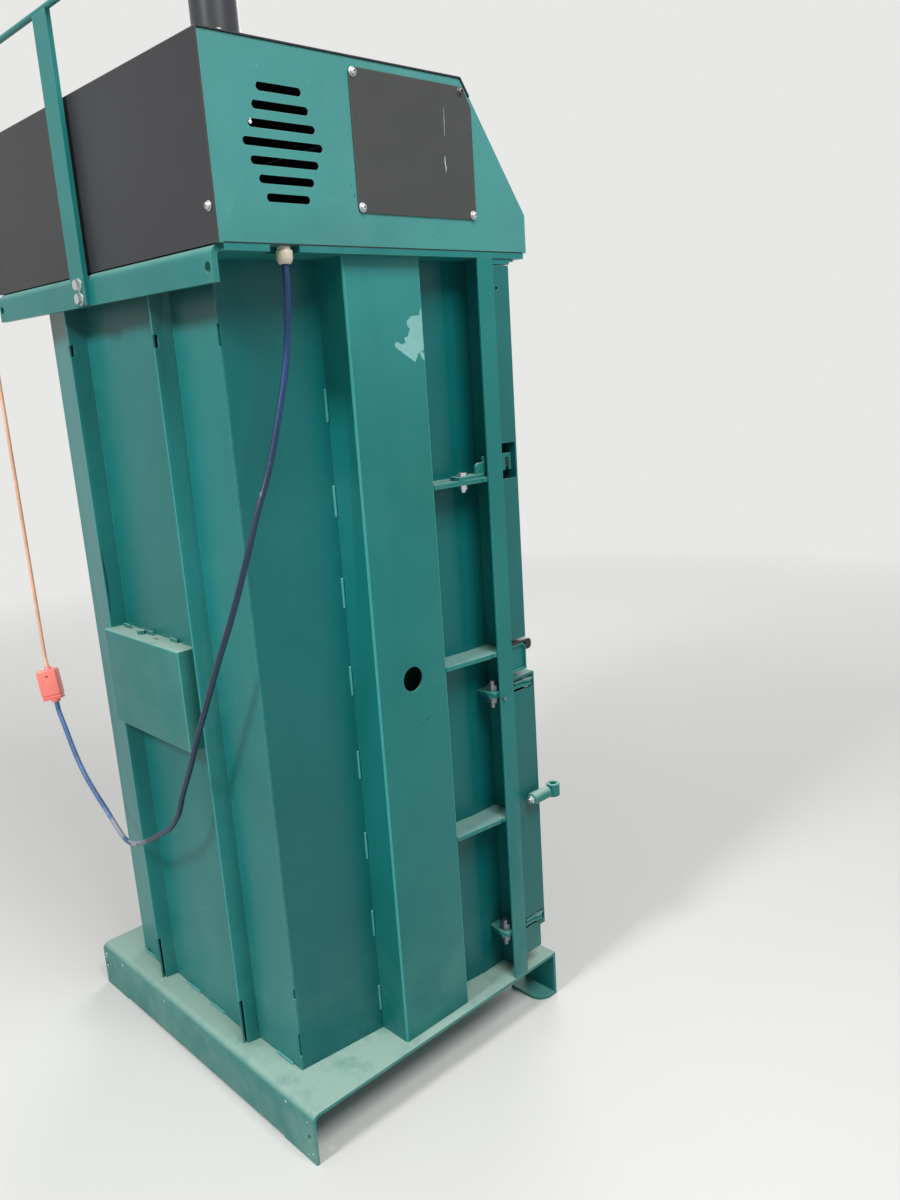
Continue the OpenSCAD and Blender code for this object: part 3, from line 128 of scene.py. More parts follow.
@dataclass(frozen=True)
class Paint:
    """A sprayed enamel on sheet steel.

    Attributes:
        slot: Material slot of the record; not used.
        colour: Linear base colour.
        dust: Linear colour of the dust that lies on it.
        dusting: How much dust lies on upward faces.
        scuff: How strongly rubs and runs show.
        gloss: Roughness of the clean enamel.
        bare: Colour under a chipped edge.
        edge: How far the edges are worn.
        fade: Strength of the painted light on side faces below the top plate, lighter towards the top.
        shadow_and_grime_band: Strength of the dark band under the top plate: painted shadow of the top plate's ledge,
            with grime in it.
    """

    slot: str
    colour: Colour
    dust: Colour = srgb(110, 164, 152)
    dusting: float = 0.5
    scuff: float = 0.4
    gloss: float = 0.36
    bare: Colour = srgb(120, 172, 164)
    edge: float = 0.7
    fade: float = 0.0
    shadow_and_grime_band: float = 0.0


@dataclass(frozen=True)
class Metal:
    """A bare, plated or polished metal.

    Attributes:
        slot: Material slot of the record; not used.
        colour: Linear base colour.
        stain: Linear colour of stains and rust.
        staining: Share of the surface that is stained.
        gloss: Roughness of the clean metal.
    """

    slot: str
    colour: Colour
    stain: Colour = srgb(96, 84, 72)
    staining: float = 0.3
    gloss: float = 0.32


@dataclass(frozen=True)
class Plastic:
    """A moulded or extruded plastic, or rubber.

    Attributes:
        slot: Material slot of the record; not used.
        colour: Linear base colour.
        grime: Linear colour of the dirt on it.
        griming: Share of the surface that is dirty.
        gloss: Roughness where it is clean.
        grain: Strength of the moulded grain.
    """

    slot: str
    colour: Colour
    grime: Colour = srgb(70, 66, 60)
    griming: float = 0.25
    gloss: float = 0.45
    grain: float = 0.05


class Finish(Enum):
    """Every finish on the machine."""

    TEAL = Paint("teal_paint", srgb(16, 112, 109))
    # back wall: dark band under the top plate, painted shadow with grime
    TEAL_BACK = Paint("teal_paint", srgb(24, 118, 116), scuff=0.5, shadow_and_grime_band=0.45)
    # painted light: side faces lighter towards the top plate
    TEAL_FADED = Paint("teal_paint", srgb(16, 112, 109), fade=0.55)
    # darker copy of the teal for the chamber's side walls: painted shade of the recess
    TEAL_DEEP = Paint("teal_paint", srgb(8, 100, 100), dust=srgb(90, 146, 136), scuff=0.3, gloss=0.32,
                      bare=srgb(120, 166, 158))
    TEAL_WORN = Paint("teal_paint", srgb(22, 114, 111), dust=srgb(140, 184, 172), dusting=0.7, scuff=0.6,
                      bare=srgb(112, 96, 80), edge=1.0)
    # lighter copy of the teal for the housing panels: painted reflection of a bright sheen
    TEAL_PALE = Paint("teal_paint", srgb(64, 135, 132), dust=srgb(136, 182, 172), scuff=0.5, gloss=0.34,
                      bare=srgb(140, 188, 180))
    TEAL_DOOR = Paint("teal_paint", srgb(16, 98, 96), dust=srgb(104, 150, 140), gloss=0.38,
                      bare=srgb(120, 166, 158))
    TEAL_MIST = Paint("pale_teal_paint", srgb(30, 114, 109), dust=srgb(132, 168, 158), dusting=0.8, scuff=0.5,
                      gloss=0.42, bare=srgb(150, 184, 174))
    TEAL_DUSTY = Paint("pale_teal_paint", srgb(38, 118, 112), dust=srgb(156, 182, 170), dusting=0.92, scuff=0.6,
                       gloss=0.44, bare=srgb(170, 196, 184))
    # lighter than the teal: painted glint on the weld beads
    WELD = Paint("teal_paint", srgb(62, 148, 144), dust=srgb(120, 184, 176), scuff=0.3, gloss=0.26,
                 bare=srgb(150, 200, 192))
    BLACK = Paint("black_paint", srgb(43, 44, 47), dust=srgb(96, 98, 100), dusting=0.35, scuff=0.3, gloss=0.46,
                  bare=srgb(84, 86, 88))
    PLATE_BLACK = Paint("black_paint", srgb(61, 63, 62), dust=srgb(112, 113, 112), dusting=0.3, scuff=0.3,
                        gloss=0.50, bare=srgb(92, 92, 90))
    CHARCOAL = Paint("charcoal_paint", srgb(52, 54, 58), dust=srgb(110, 110, 108), dusting=0.3, gloss=0.33,
                     bare=srgb(110, 110, 110))
    GREY = Paint("grey_paint", srgb(112, 118, 120), dust=srgb(176, 196, 188), dusting=0.4, bare=srgb(150, 150, 150))
    ZINC = Metal("zinc", srgb(206, 208, 210), stain=srgb(104, 102, 98), staining=0.3, gloss=0.42)
    DULL = Metal("zinc", srgb(140, 147, 150), stain=srgb(66, 78, 80), staining=0.4, gloss=0.45)
    STAINED = Metal("zinc", srgb(120, 116, 112), stain=srgb(60, 56, 52), staining=0.65, gloss=0.5)
    STEEL = Metal("bare_steel", srgb(160, 164, 168), staining=0.4, gloss=0.38)
    CHROME = Metal("hard_chrome", srgb(214, 216, 218), staining=0.08, gloss=0.14)
    RUBBER = Plastic("black_rubber", srgb(20, 21, 23), grime=srgb(70, 70, 68), griming=0.2, gloss=0.5,
                     grain=0.12)
    IVORY = Plastic("ivory_plastic", srgb(196, 190, 174), grime=srgb(120, 104, 84), griming=0.25, gloss=0.4)
    TAN = Plastic("ivory_plastic", srgb(194, 184, 164), grime=srgb(112, 92, 68), griming=0.4, gloss=0.45)
    # near black: painted shadow in the strips under the housing; also a dark line in a channel and dark scuffs
    SEAL = Plastic("black_rubber", srgb(14, 24, 25), grime=srgb(34, 48, 48), griming=0.3, gloss=0.8, grain=0.12)
    PAPER = Plastic("ivory_plastic", srgb(126, 180, 176), grime=srgb(96, 158, 152), griming=0.5, gloss=0.5, grain=0.2)
    CHALK = Plastic("ivory_plastic", srgb(216, 220, 216), grime=srgb(160, 170, 166), griming=0.4, gloss=0.6)
    PINK = Plastic("ivory_plastic", srgb(150, 112, 104), grime=srgb(90, 70, 64), griming=0.5, gloss=0.7)
    CORAL = Plastic("coral_plastic", srgb(245, 132, 120), grime=srgb(178, 98, 84), griming=0.22, gloss=0.36)
    RED = Plastic("red_plastic", srgb(190, 28, 26), gloss=0.28)
    GREEN = Plastic("green_plastic", srgb(34, 132, 66), gloss=0.3)
    BLACK_PLASTIC = Plastic("black_plastic", srgb(44, 44, 46), gloss=0.36)
    NYLON = Plastic("white_plastic", srgb(212, 210, 200), gloss=0.5)


class Graph:
    """The node tree of one material, with short calls for what the finishes share."""

    def __init__(self, name: str) -> None:
        """Start a material with a Principled shader.

        Args:
            name: The material's name.
        """
        self.material = bpy.data.materials.new(name)
        self.material.use_nodes = True
        self.tree = self.material.node_tree
        self.tree.nodes.clear()
        self.shader = self.node("ShaderNodeBsdfPrincipled")
        output = self.node("ShaderNodeOutputMaterial")
        self.tree.links.new(self.shader.outputs[0], output.inputs[0])
        self.here = self.node("ShaderNodeTexCoord").outputs["Object"]

    def node(self, kind: str, **settings: object) -> bpy.types.Node:
        """Add a node and set its properties.

        Args:
            kind: The node's Blender type.
            **settings: Property names with their values.

        Returns:
            The new node.
        """
        made = self.tree.nodes.new(kind)
        for key, value in settings.items():
            setattr(made, key, value)
        return made

    def feed(self, made: bpy.types.Node, values: dict[object, object]) -> bpy.types.Node:
        """Give a node's inputs a socket or a value each.

        Args:
            made: The node.
            values: Input name or number to socket or plain value.

        Returns:
            The same node.
        """
        for key, value in values.items():
            if isinstance(value, Socket):
                self.tree.links.new(value, made.inputs[key])
            else:
                made.inputs[key].default_value = value
        return made

    def stretched(self, x: float, y: float, z: float) -> Socket:
        """Object coordinates scaled along each axis."""
        return self.feed(self.node("ShaderNodeMapping"), {"Vector": self.here, "Scale": (x, y, z)}).outputs[0]

    def noise(self, scale: float, detail: float = 3.0, rough: float = 0.55, vector: Socket | None = None) -> Socket:
        """Fractal noise from 0 to 1.

        Args:
            scale: Bumps per metre.
            detail: Octaves.
            rough: Strength of the fine octaves.
            vector: Coordinates, or the object's own.

        Returns:
            The noise factor.
        """
        made = self.node("ShaderNodeTexNoise")
        return self.feed(made, {"Vector": vector or self.here, "Scale": scale, "Detail": detail,
                                "Roughness": rough}).outputs[0]

    def rise(self, value: Socket, low: float, high: float, top: float = 1.0) -> Socket:
        """Map a value between low and high onto 0 to top, clamped."""
        made = self.node("ShaderNodeMapRange", clamp=True)
        return self.feed(made, {0: value, 1: low, 2: high, 3: 0.0, 4: top}).outputs[0]

    def times(self, a: Socket, b: Socket | float) -> Socket:
        """Multiply two factors."""
        return self.feed(self.node("ShaderNodeMath", operation="MULTIPLY"), {0: a, 1: b}).outputs[0]

    def most(self, a: Socket, b: Socket) -> Socket:
        """The larger of two factors."""
        return self.feed(self.node("ShaderNodeMath", operation="MAXIMUM"), {0: a, 1: b}).outputs[0]

    def blend(self, factor: Socket, a: Socket | Colour, b: Socket | Colour) -> Socket:
        """Mix two colours.

        Args:
            factor: 0 for a, 1 for b.
            a: First colour or socket.
            b: Second colour or socket.

        Returns:
            The mixed colour.
        """
        made = self.node("ShaderNodeMix", data_type="RGBA")
        full = [c if isinstance(c, Socket) else (*c, 1.0) for c in (a, b)]
        return self.feed(made, {0: factor, 6: full[0], 7: full[1]}).outputs[2]

    def facing(self, axis: int) -> Socket:
        """One part of the surface's normal."""
        normal = self.node("ShaderNodeNewGeometry").outputs["Normal"]
        return self.feed(self.node("ShaderNodeSeparateXYZ"), {0: normal}).outputs[axis]

    def upward(self, low: float = 0.35, high: float = 0.95) -> Socket:
        """How far the surface faces up."""
        return self.rise(self.facing(2), low, high)

    def sideways(self) -> Socket:
        """How far the surface faces left or right."""
        lean = self.facing(0)
        return self.rise(self.times(lean, lean), 0.7, 0.95)

    def own(self, name: str) -> Socket:
        """A value painted on the piece's own faces, or nothing where it has none."""
        return self.node("ShaderNodeAttribute", attribute_name=name).outputs["Fac"]

    def along(self, axis: int) -> Socket:
        """One of the Object coordinates, in metres."""
        return self.feed(self.node("ShaderNodeSeparateXYZ"), {0: self.here}).outputs[axis]

    def low_down(self, top: float, foot: float) -> Socket:
        """A factor that grows from a height towards the floor."""
        return self.rise(self.along(2), top, foot)

    def plus(self, a: Socket, b: Socket | float) -> Socket:
        """Add two values."""
        return self.feed(self.node("ShaderNodeMath", operation="ADD"), {0: a, 1: b}).outputs[0]

    def edge_wear_and_highlight_mask(self, radius: float) -> Socket:
        """A mask of the outer few tenths of every sharp edge, for chipped edges and for the painted edge highlight.

        Args:
            radius: How far the mask reaches from the edge, in metres.

        Returns:
            The mask, 1 on the edge.
        """
        soft = self.feed(self.node("ShaderNodeBevel", samples=4), {"Radius": radius}).outputs[0]
        true = self.node("ShaderNodeNewGeometry").outputs["Normal"]
        dot = self.feed(self.node("ShaderNodeVectorMath", operation="DOT_PRODUCT"), {0: soft, 1: true})
        return self.rise(dot.outputs["Value"], 0.97, 0.80)

    def finish(self, colour: Socket, rough: Socket | float, height: Socket, strength: float, depth: float) -> None:
        """Join colour, roughness and bump to the shader.

        Args:
            colour: Base colour.
            rough: Roughness.
            height: Height that drives the bump.
            strength: Bump strength.
            depth: Bump depth in metres.
        """
        bump = self.feed(self.node("ShaderNodeBump"), {"Strength": strength, "Distance": depth, "Height": height})
        self.feed(self.shader, {"Base Color": colour, "Roughness": rough, "Normal": bump.outputs[0]})


class FinishShop:
    """Makes each finish's material once."""

    def __init__(self) -> None:
        """Start with no materials."""
        self.made: dict[Finish, bpy.types.Material] = {}

    def get(self, finish: Finish) -> bpy.types.Material:
        """The material of a finish.

        Args:
            finish: The finish.

        Returns:
            Its material, made on first use.
        """
        if finish not in self.made:
            maker = {Paint: self.enamel, Metal: self.metal, Plastic: self.plastic}[type(finish.value)]
            self.made[finish] = maker(finish.name.lower(), finish.value)
        return self.made[finish]

    def enamel(self, name: str, paint: Paint) -> bpy.types.Material:
        """Sprayed enamel with runs, dust, rubs and chipped edges.

        Args:
            name: The material's name.
            paint: Its colours and amounts.

        Returns:
            The material.
        """
        g = Graph(name)
        g.shader.inputs["Specular IOR Level"].default_value = 0.3
        deep = tuple(c * 0.84 for c in paint.colour)
        light = tuple(min(1.0, c * 1.12 + 0.003) for c in paint.colour)
        tone = g.blend(g.rise(g.noise(1.7, 4.0), 0.3, 0.7), deep, light)
        # painted light: side faces grow lighter towards the top plate, as if lit from above
        if paint.fade:
            painted_top_light = g.times(g.rise(g.along(2), 1.35, 1.72, paint.fade), g.sideways())
            tone = g.blend(painted_top_light, tone, tuple(c * 1.45 + 0.03 for c in paint.colour))
        # painted shadow of the top plate's ledge, mixed with grime: darker band just under the top plate
        if paint.shadow_and_grime_band:
            wander = g.plus(g.along(2), g.times(g.noise(9.0, 3.0), 0.05))
            tone = g.blend(g.rise(wander, 1.705, 1.735, paint.shadow_and_grime_band), tone, srgb(44, 62, 56))
        runs = g.rise(g.noise(1.0, 4.0, vector=g.stretched(17, 17, 1.1)), 0.50, 0.78, 0.34 * paint.scuff)
        tone = g.blend(runs, tone, tuple(c * 0.66 for c in paint.colour))
        haze = g.rise(g.noise(5.0, 6.0, 0.65), 0.50, 0.80, 0.22 * paint.scuff)
        tone = g.blend(haze, tone, paint.dust)
        rub_lines = g.rise(g.noise(1.0, 5.0, 0.7, g.stretched(34, 34, 260)), 0.655, 0.70)
        rubs = g.times(g.times(rub_lines, g.rise(g.noise(4.2, 2.0), 0.52, 0.66)), 0.30 * paint.scuff)
        tone = g.blend(rubs, tone, paint.dust)
        specks = g.times(g.rise(g.noise(170, 1.0), 0.745, 0.79), g.rise(g.noise(3.1, 2.0), 0.42, 0.60, 0.6))
        tone = g.blend(g.times(specks, paint.scuff), tone, paint.bare)
        pits = g.times(g.rise(g.noise(120, 1.0, vector=g.stretched(1.1, 1.3, 0.8)), 0.755, 0.80),
                       g.rise(g.noise(2.3, 2.0), 0.50, 0.62, 0.7))
        tone = g.blend(pits, tone, tuple(c * 0.35 for c in paint.colour))
        foot = g.times(g.low_down(0.42, 0.06), g.rise(g.noise(9.0, 5.0, 0.65), 0.40, 0.72, 0.30))
        lying = g.times(g.upward(), g.rise(g.noise(11.0, 6.0, 0.68), 0.02, 0.50, 0.92 * paint.dusting))
        dust = g.most(foot, lying)
        tone = g.blend(dust, tone, paint.dust)
        edge = g.times(g.edge_wear_and_highlight_mask(0.0016), g.rise(g.noise(26.0, 4.0, 0.7), 0.60 - 0.22 * paint.edge,
                                                   0.70 - 0.14 * paint.edge, 0.85 * paint.edge))
        # painted highlight: lighter line along every sharp edge and over the rounded folds
        painted_edge_highlight = g.most(g.times(g.edge_wear_and_highlight_mask(0.0024), 0.6), g.times(g.own("fold"), 0.6))
        tone = g.blend(painted_edge_highlight, tone, tuple(min(1.0, c * 1.9 + 0.045) for c in paint.colour))
        tone = g.blend(edge, tone, paint.bare)
        rough = g.plus(g.rise(g.most(dust, haze), 0.0, 1.0, 0.4), paint.gloss)
        height = g.feed(g.node("ShaderNodeMath", operation="MULTIPLY_ADD"),
                        {0: g.noise(5.0, 2.0), 1: 6.0, 2: g.noise(260, 2.0)}).outputs[0]
        g.finish(tone, rough, height, 0.10, 0.0006)
        return g.material

    def metal(self, name: str, metal: Metal) -> bpy.types.Material:
        """Plated or bare metal with stains and brushed lines.

        Args:
            name: The material's name.
            metal: Its colours and amounts.

        Returns:
            The material.
        """
        g = Graph(name)
        g.shader.inputs["Metallic"].default_value = 1.0 if metal.staining < 0.7 else 0.45
        patch = g.rise(g.noise(55.0, 5.0, 0.65), 0.72 - 0.42 * metal.staining, 0.86 - 0.3 * metal.staining, 0.9)
        tone = g.blend(g.noise(20.0, 3.0), tuple(c * 0.82 for c in metal.colour), metal.colour)
        tone = g.blend(patch, tone, metal.stain)
        rough = g.plus(g.rise(patch, 0.0, 1.0, 0.35), metal.gloss)
        lines = g.noise(1.0, 3.0, vector=g.stretched(300, 300, 3000))
        g.finish(tone, rough, lines, 0.06, 0.0004)
        return g.material

    def plastic(self, name: str, plastic: Plastic) -> bpy.types.Material:
        """Moulded plastic or rubber with a fine grain and handled dirt.

        Args:
            name: The material's name.
            plastic: Its colours and amounts.

        Returns:
            The material.
        """
        g = Graph(name)
        low = 0.70 - 0.35 * plastic.griming
        dirt = g.rise(g.noise(28.0, 6.0, 0.68), low, low + 0.25, 0.75)
        tone = g.blend(g.noise(12.0, 3.0), tuple(c * 0.86 for c in plastic.colour),
                       tuple(min(1.0, c * 1.08) for c in plastic.colour))
        tone = g.blend(dirt, tone, plastic.grime)
        lying = g.times(g.upward(0.6, 1.0), g.rise(g.noise(24.0, 4.0), 0.35, 0.65, 0.30))
        tone = g.blend(lying, tone, srgb(168, 166, 158))
        rough = g.plus(g.rise(dirt, 0.0, 1.0, 0.25), plastic.gloss)
        g.finish(tone, rough, g.noise(900, 2.0), plastic.grain, 0.0003)
        return g.material


SHOP = FinishShop()


def rest_on(piece: bpy.types.Object, body: Body, finish: Finish) -> bpy.types.Object:
    """Give a finished piece its material and body.

    Args:
        piece: The piece.
        body: The body that it moves with.
        finish: Its finish.

    Returns:
        The piece.
    """
    piece.data.materials.clear()
    piece.data.materials.append(SHOP.get(finish))
    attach(piece, body.value)
    LOG.info("%s rides on %s in %s", piece.name, body.value, finish.name.lower())
    return piece


def standing(at: Vector, along: Vector) -> Matrix:
    """Turn and move a shape from the upright axis at the origin.

    Args:
        at: Where its foot or middle goes, in metres.
        along: The way its axis points.

    Returns:
        The matrix.
    """
    return Matrix.Translation(at) @ UP.rotation_difference(along).to_matrix().to_4x4()


def sized_cube(bm: bmesh.types.BMesh, size: Point,
               middle: Point) -> list[bmesh.types.BMVert]:
    """Add a cube of a size at a place.

    Args:
        bm: The bmesh that takes it.
        size: Its size in millimetres.
        middle: Its middle in millimetres.

    Returns:
        Its corners.
    """
    corners = bmesh.ops.create_cube(bm, size=1.0)["verts"]
    bmesh.ops.scale(bm, vec=Vector(size) * MM, verts=corners)
    bmesh.ops.translate(bm, vec=Vector(middle) * MM, verts=corners)
    return corners


def round_edges(bm: bmesh.types.BMesh, edges: list[bmesh.types.BMEdge], radius: float, segments: int,
                clamp: bool = False) -> list[bmesh.types.BMFace]:
    """Bevel edges into round ones.

    Args:
        bm: Their bmesh.
        edges: The edges.
        radius: Offset of the bevel in metres.
        segments: Faces across it.
        clamp: Whether the bevels stop before they overlap.

    Returns:
        The new faces.
    """
    return bmesh.ops.bevel(bm, geom=edges, offset=radius, offset_type="OFFSET", segments=segments, profile=0.5,
                           affect="EDGES", material=-1, clamp_overlap=clamp)["faces"]


def in_scene(name: str, data: bpy.types.ID) -> bpy.types.Object:
    """Link new data into the scene as an object.

    Args:
        name: The object's name.
        data: Its mesh, curve, lamp or camera.

    Returns:
        The object, at the origin.
    """
    made = bpy.data.objects.new(name, data)
    bpy.context.scene.collection.objects.link(made)
    return made


def piece_from(bm: bmesh.types.BMesh, name: str, smooth: float = 35.0) -> bpy.types.Object:
    """Turn a finished bmesh into an object at the origin.

    Args:
        bm: The bmesh, which is freed.
        name: The object's name.
        smooth: Edges sharper than this stay sharp, in degrees.

    Returns:
        The object.
    """
    mesh = bpy.data.meshes.new(name)
    bm.to_mesh(mesh)
    bm.free()
    for polygon in mesh.polygons:
        polygon.use_smooth = True
    mesh.set_sharp_from_angle(angle=math.radians(smooth))
    return in_scene(name, mesh)


def absorb(bm: bmesh.types.BMesh, part: bmesh.types.BMesh) -> None:
    """Add a finished bmesh to another one.

    Args:
        bm: The bmesh that takes it.
        part: The bmesh that is added, which is freed.
    """
    mesh = bpy.data.meshes.new("part")
    part.to_mesh(mesh)
    part.free()
    bm.from_mesh(mesh)
    bpy.data.meshes.remove(mesh)


def eased(piece: bpy.types.Object, width: float, segments: int = 2) -> bpy.types.Object:
    """Round a piece's sharp edges with a live bevel.

    Args:
        piece: The piece.
        width: Bevel width in metres.
        segments: Faces across the bevel.

    Returns:
        The piece.
    """
    bevel = piece.modifiers.new("eased", "BEVEL")
    bevel.width = width
    bevel.segments = segments
    bevel.limit_method = "ANGLE"
    bevel.angle_limit = math.radians(40)
    bevel.harden_normals = True
    return piece


@dataclass(frozen=True)
class Sheet:
    """One CAD node whose folded or cut edges are eased for the eye.

    Attributes:
        node: CAD node.
        finish: Its finish.
        ease: Bevel width in metres, or 0 to keep the node's own mesh.
        fold: Radius of the sheet's outer fold edges in metres.
    """

    node: str
    finish: Finish
    ease: float = 0.0008
    fold: float = 0.0

    def fold_edges(self, bm: bmesh.types.BMesh) -> list[bmesh.types.BMEdge]:
        """Outer edges of at least 30 degrees between two wide faces.

        Args:
            bm: The node's mesh.

        Returns:
            The edges.
        """
        def wide(face: bmesh.types.BMFace) -> bool:
            """Whether a face is broad enough to be a flat of the sheet."""
            return face.calc_area() / max(e.calc_length() for e in face.edges) > WIDE_FLAT
        return [e for e in bm.edges if len(e.link_faces) == 2 and e.is_convex and e.calc_length() > LONG_FOLD
                and e.calc_face_angle(0.0) > FOLD_ANGLE and all(wide(f) for f in e.link_faces)]

    def dress(self) -> bpy.types.Object:
        """Make the eased copy, or dress the node itself.

        Returns:
            The object that shows.
        """
        node = frame["nodes"][self.node]
        if not self.ease:
            node.data.materials.clear()
            node.data.materials.append(SHOP.get(self.finish))
            LOG.info("%s keeps its CAD mesh in %s", self.node, self.finish.name.lower())
            return node
        bm = bmesh.new()
        bm.from_mesh(node.data)
        bmesh.ops.remove_doubles(bm, verts=bm.verts, dist=SAME_SPOT)
        bmesh.ops.dissolve_limit(bm, angle_limit=ONE_PLANE, verts=bm.verts, edges=bm.edges, delimit={"NORMAL"})
        # faces of the rounded folds, which the enamel lights with a painted highlight
        fold_highlight_faces = bm.faces.layers.float.new("fold")
        folds = self.fold_edges(bm) if self.fold else []
        if folds:
            for face in round_edges(bm, folds, self.fold, 4, clamp=True):
                face[fold_highlight_faces] = 1.0
        made = eased(piece_from(bm, f"{self.node}_eased"), self.ease)
        rest_on(made, Body(node["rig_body"]), self.finish)
        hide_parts(self.node)
        return made


def turned(profile: list[tuple[float, float]], at: Vector, along: Vector, name: str,
           steps: int = 32) -> bpy.types.Object:
    """Spin a half profile round an axis.

    Args:
        profile: Radius and height pairs in millimetres, foot first.
        at: Foot of the axis, in metres.
        along: Direction of the axis.
        name: The piece's name.
        steps: Faces round.

    Returns:
        The closed round piece.
    """
    bm = bmesh.new()
    points = [bm.verts.new((r * MM, 0.0, h * MM)) for r, h in profile]
    edges = [bm.edges.new(pair) for pair in zip(points, points[1:])]
    bmesh.ops.spin(bm, geom=points + edges, cent=(0, 0, 0), axis=(0, 0, 1), angle=math.tau, steps=steps,
                   use_merge=True)
    bmesh.ops.remove_doubles(bm, verts=bm.verts, dist=0.00001)
    bmesh.ops.recalc_face_normals(bm, faces=bm.faces)
    bmesh.ops.transform(bm, matrix=standing(at, along), verts=bm.verts)
    return piece_from(bm, name)


def block(low: Vector, high: Vector, name: str, ease: float = 0.001, segments: int = 2) -> bpy.types.Object:
    """A box between two corners with rounded edges.

    Args:
        low: Lowest corner in metres.
        high: Highest corner in metres.
        name: The piece's name.
        ease: Radius of the edges.
        segments: Faces across an edge.

    Returns:
        The piece.
    """
    bm = bmesh.new()
    bmesh.ops.create_cube(bm, size=1.0)
    bmesh.ops.scale(bm, vec=high - low, verts=bm.verts)
    bmesh.ops.translate(bm, vec=(low + high) / 2, verts=bm.verts)
    round_edges(bm, bm.edges[:], ease, segments)
    return piece_from(bm, name)


@dataclass(frozen=True)
class PhotoCamera:
    """The camera that stood behind the machine's left corner.

    Attributes:
        eye: Its place, in millimetres from the rear left corner.
        right: Image right in the frame.
        down: Image down in the frame.
        ahead: Viewing direction in the frame.
        lens: Focal length on a 36 mm side.
    """

    eye: Point = (-1498.0, 924.0, 1600.0)
    right: Point = (-0.69307432, -0.71809633, -0.06313196)
    down: Point = (-0.12658448, 0.20745368, -0.97002028)
    ahead: Point = (0.70966496, -0.66430462, -0.23468067)
    lens: float = 29.795

    def build(self) -> None:
        """Make the camera and set it for the scene."""
        data = bpy.data.cameras.new("photo_camera")
        data.lens = self.lens
        data.sensor_width = 36.0
        data.sensor_fit = "AUTO"
        data.clip_start = 0.05
        camera = in_scene("photo_camera", data)
        axes = Matrix((self.right, -Vector(self.down), -Vector(self.ahead))).transposed()
        camera.matrix_world = Matrix.Translation(place(*self.eye)) @ axes.to_4x4()
        bpy.context.scene.camera = camera


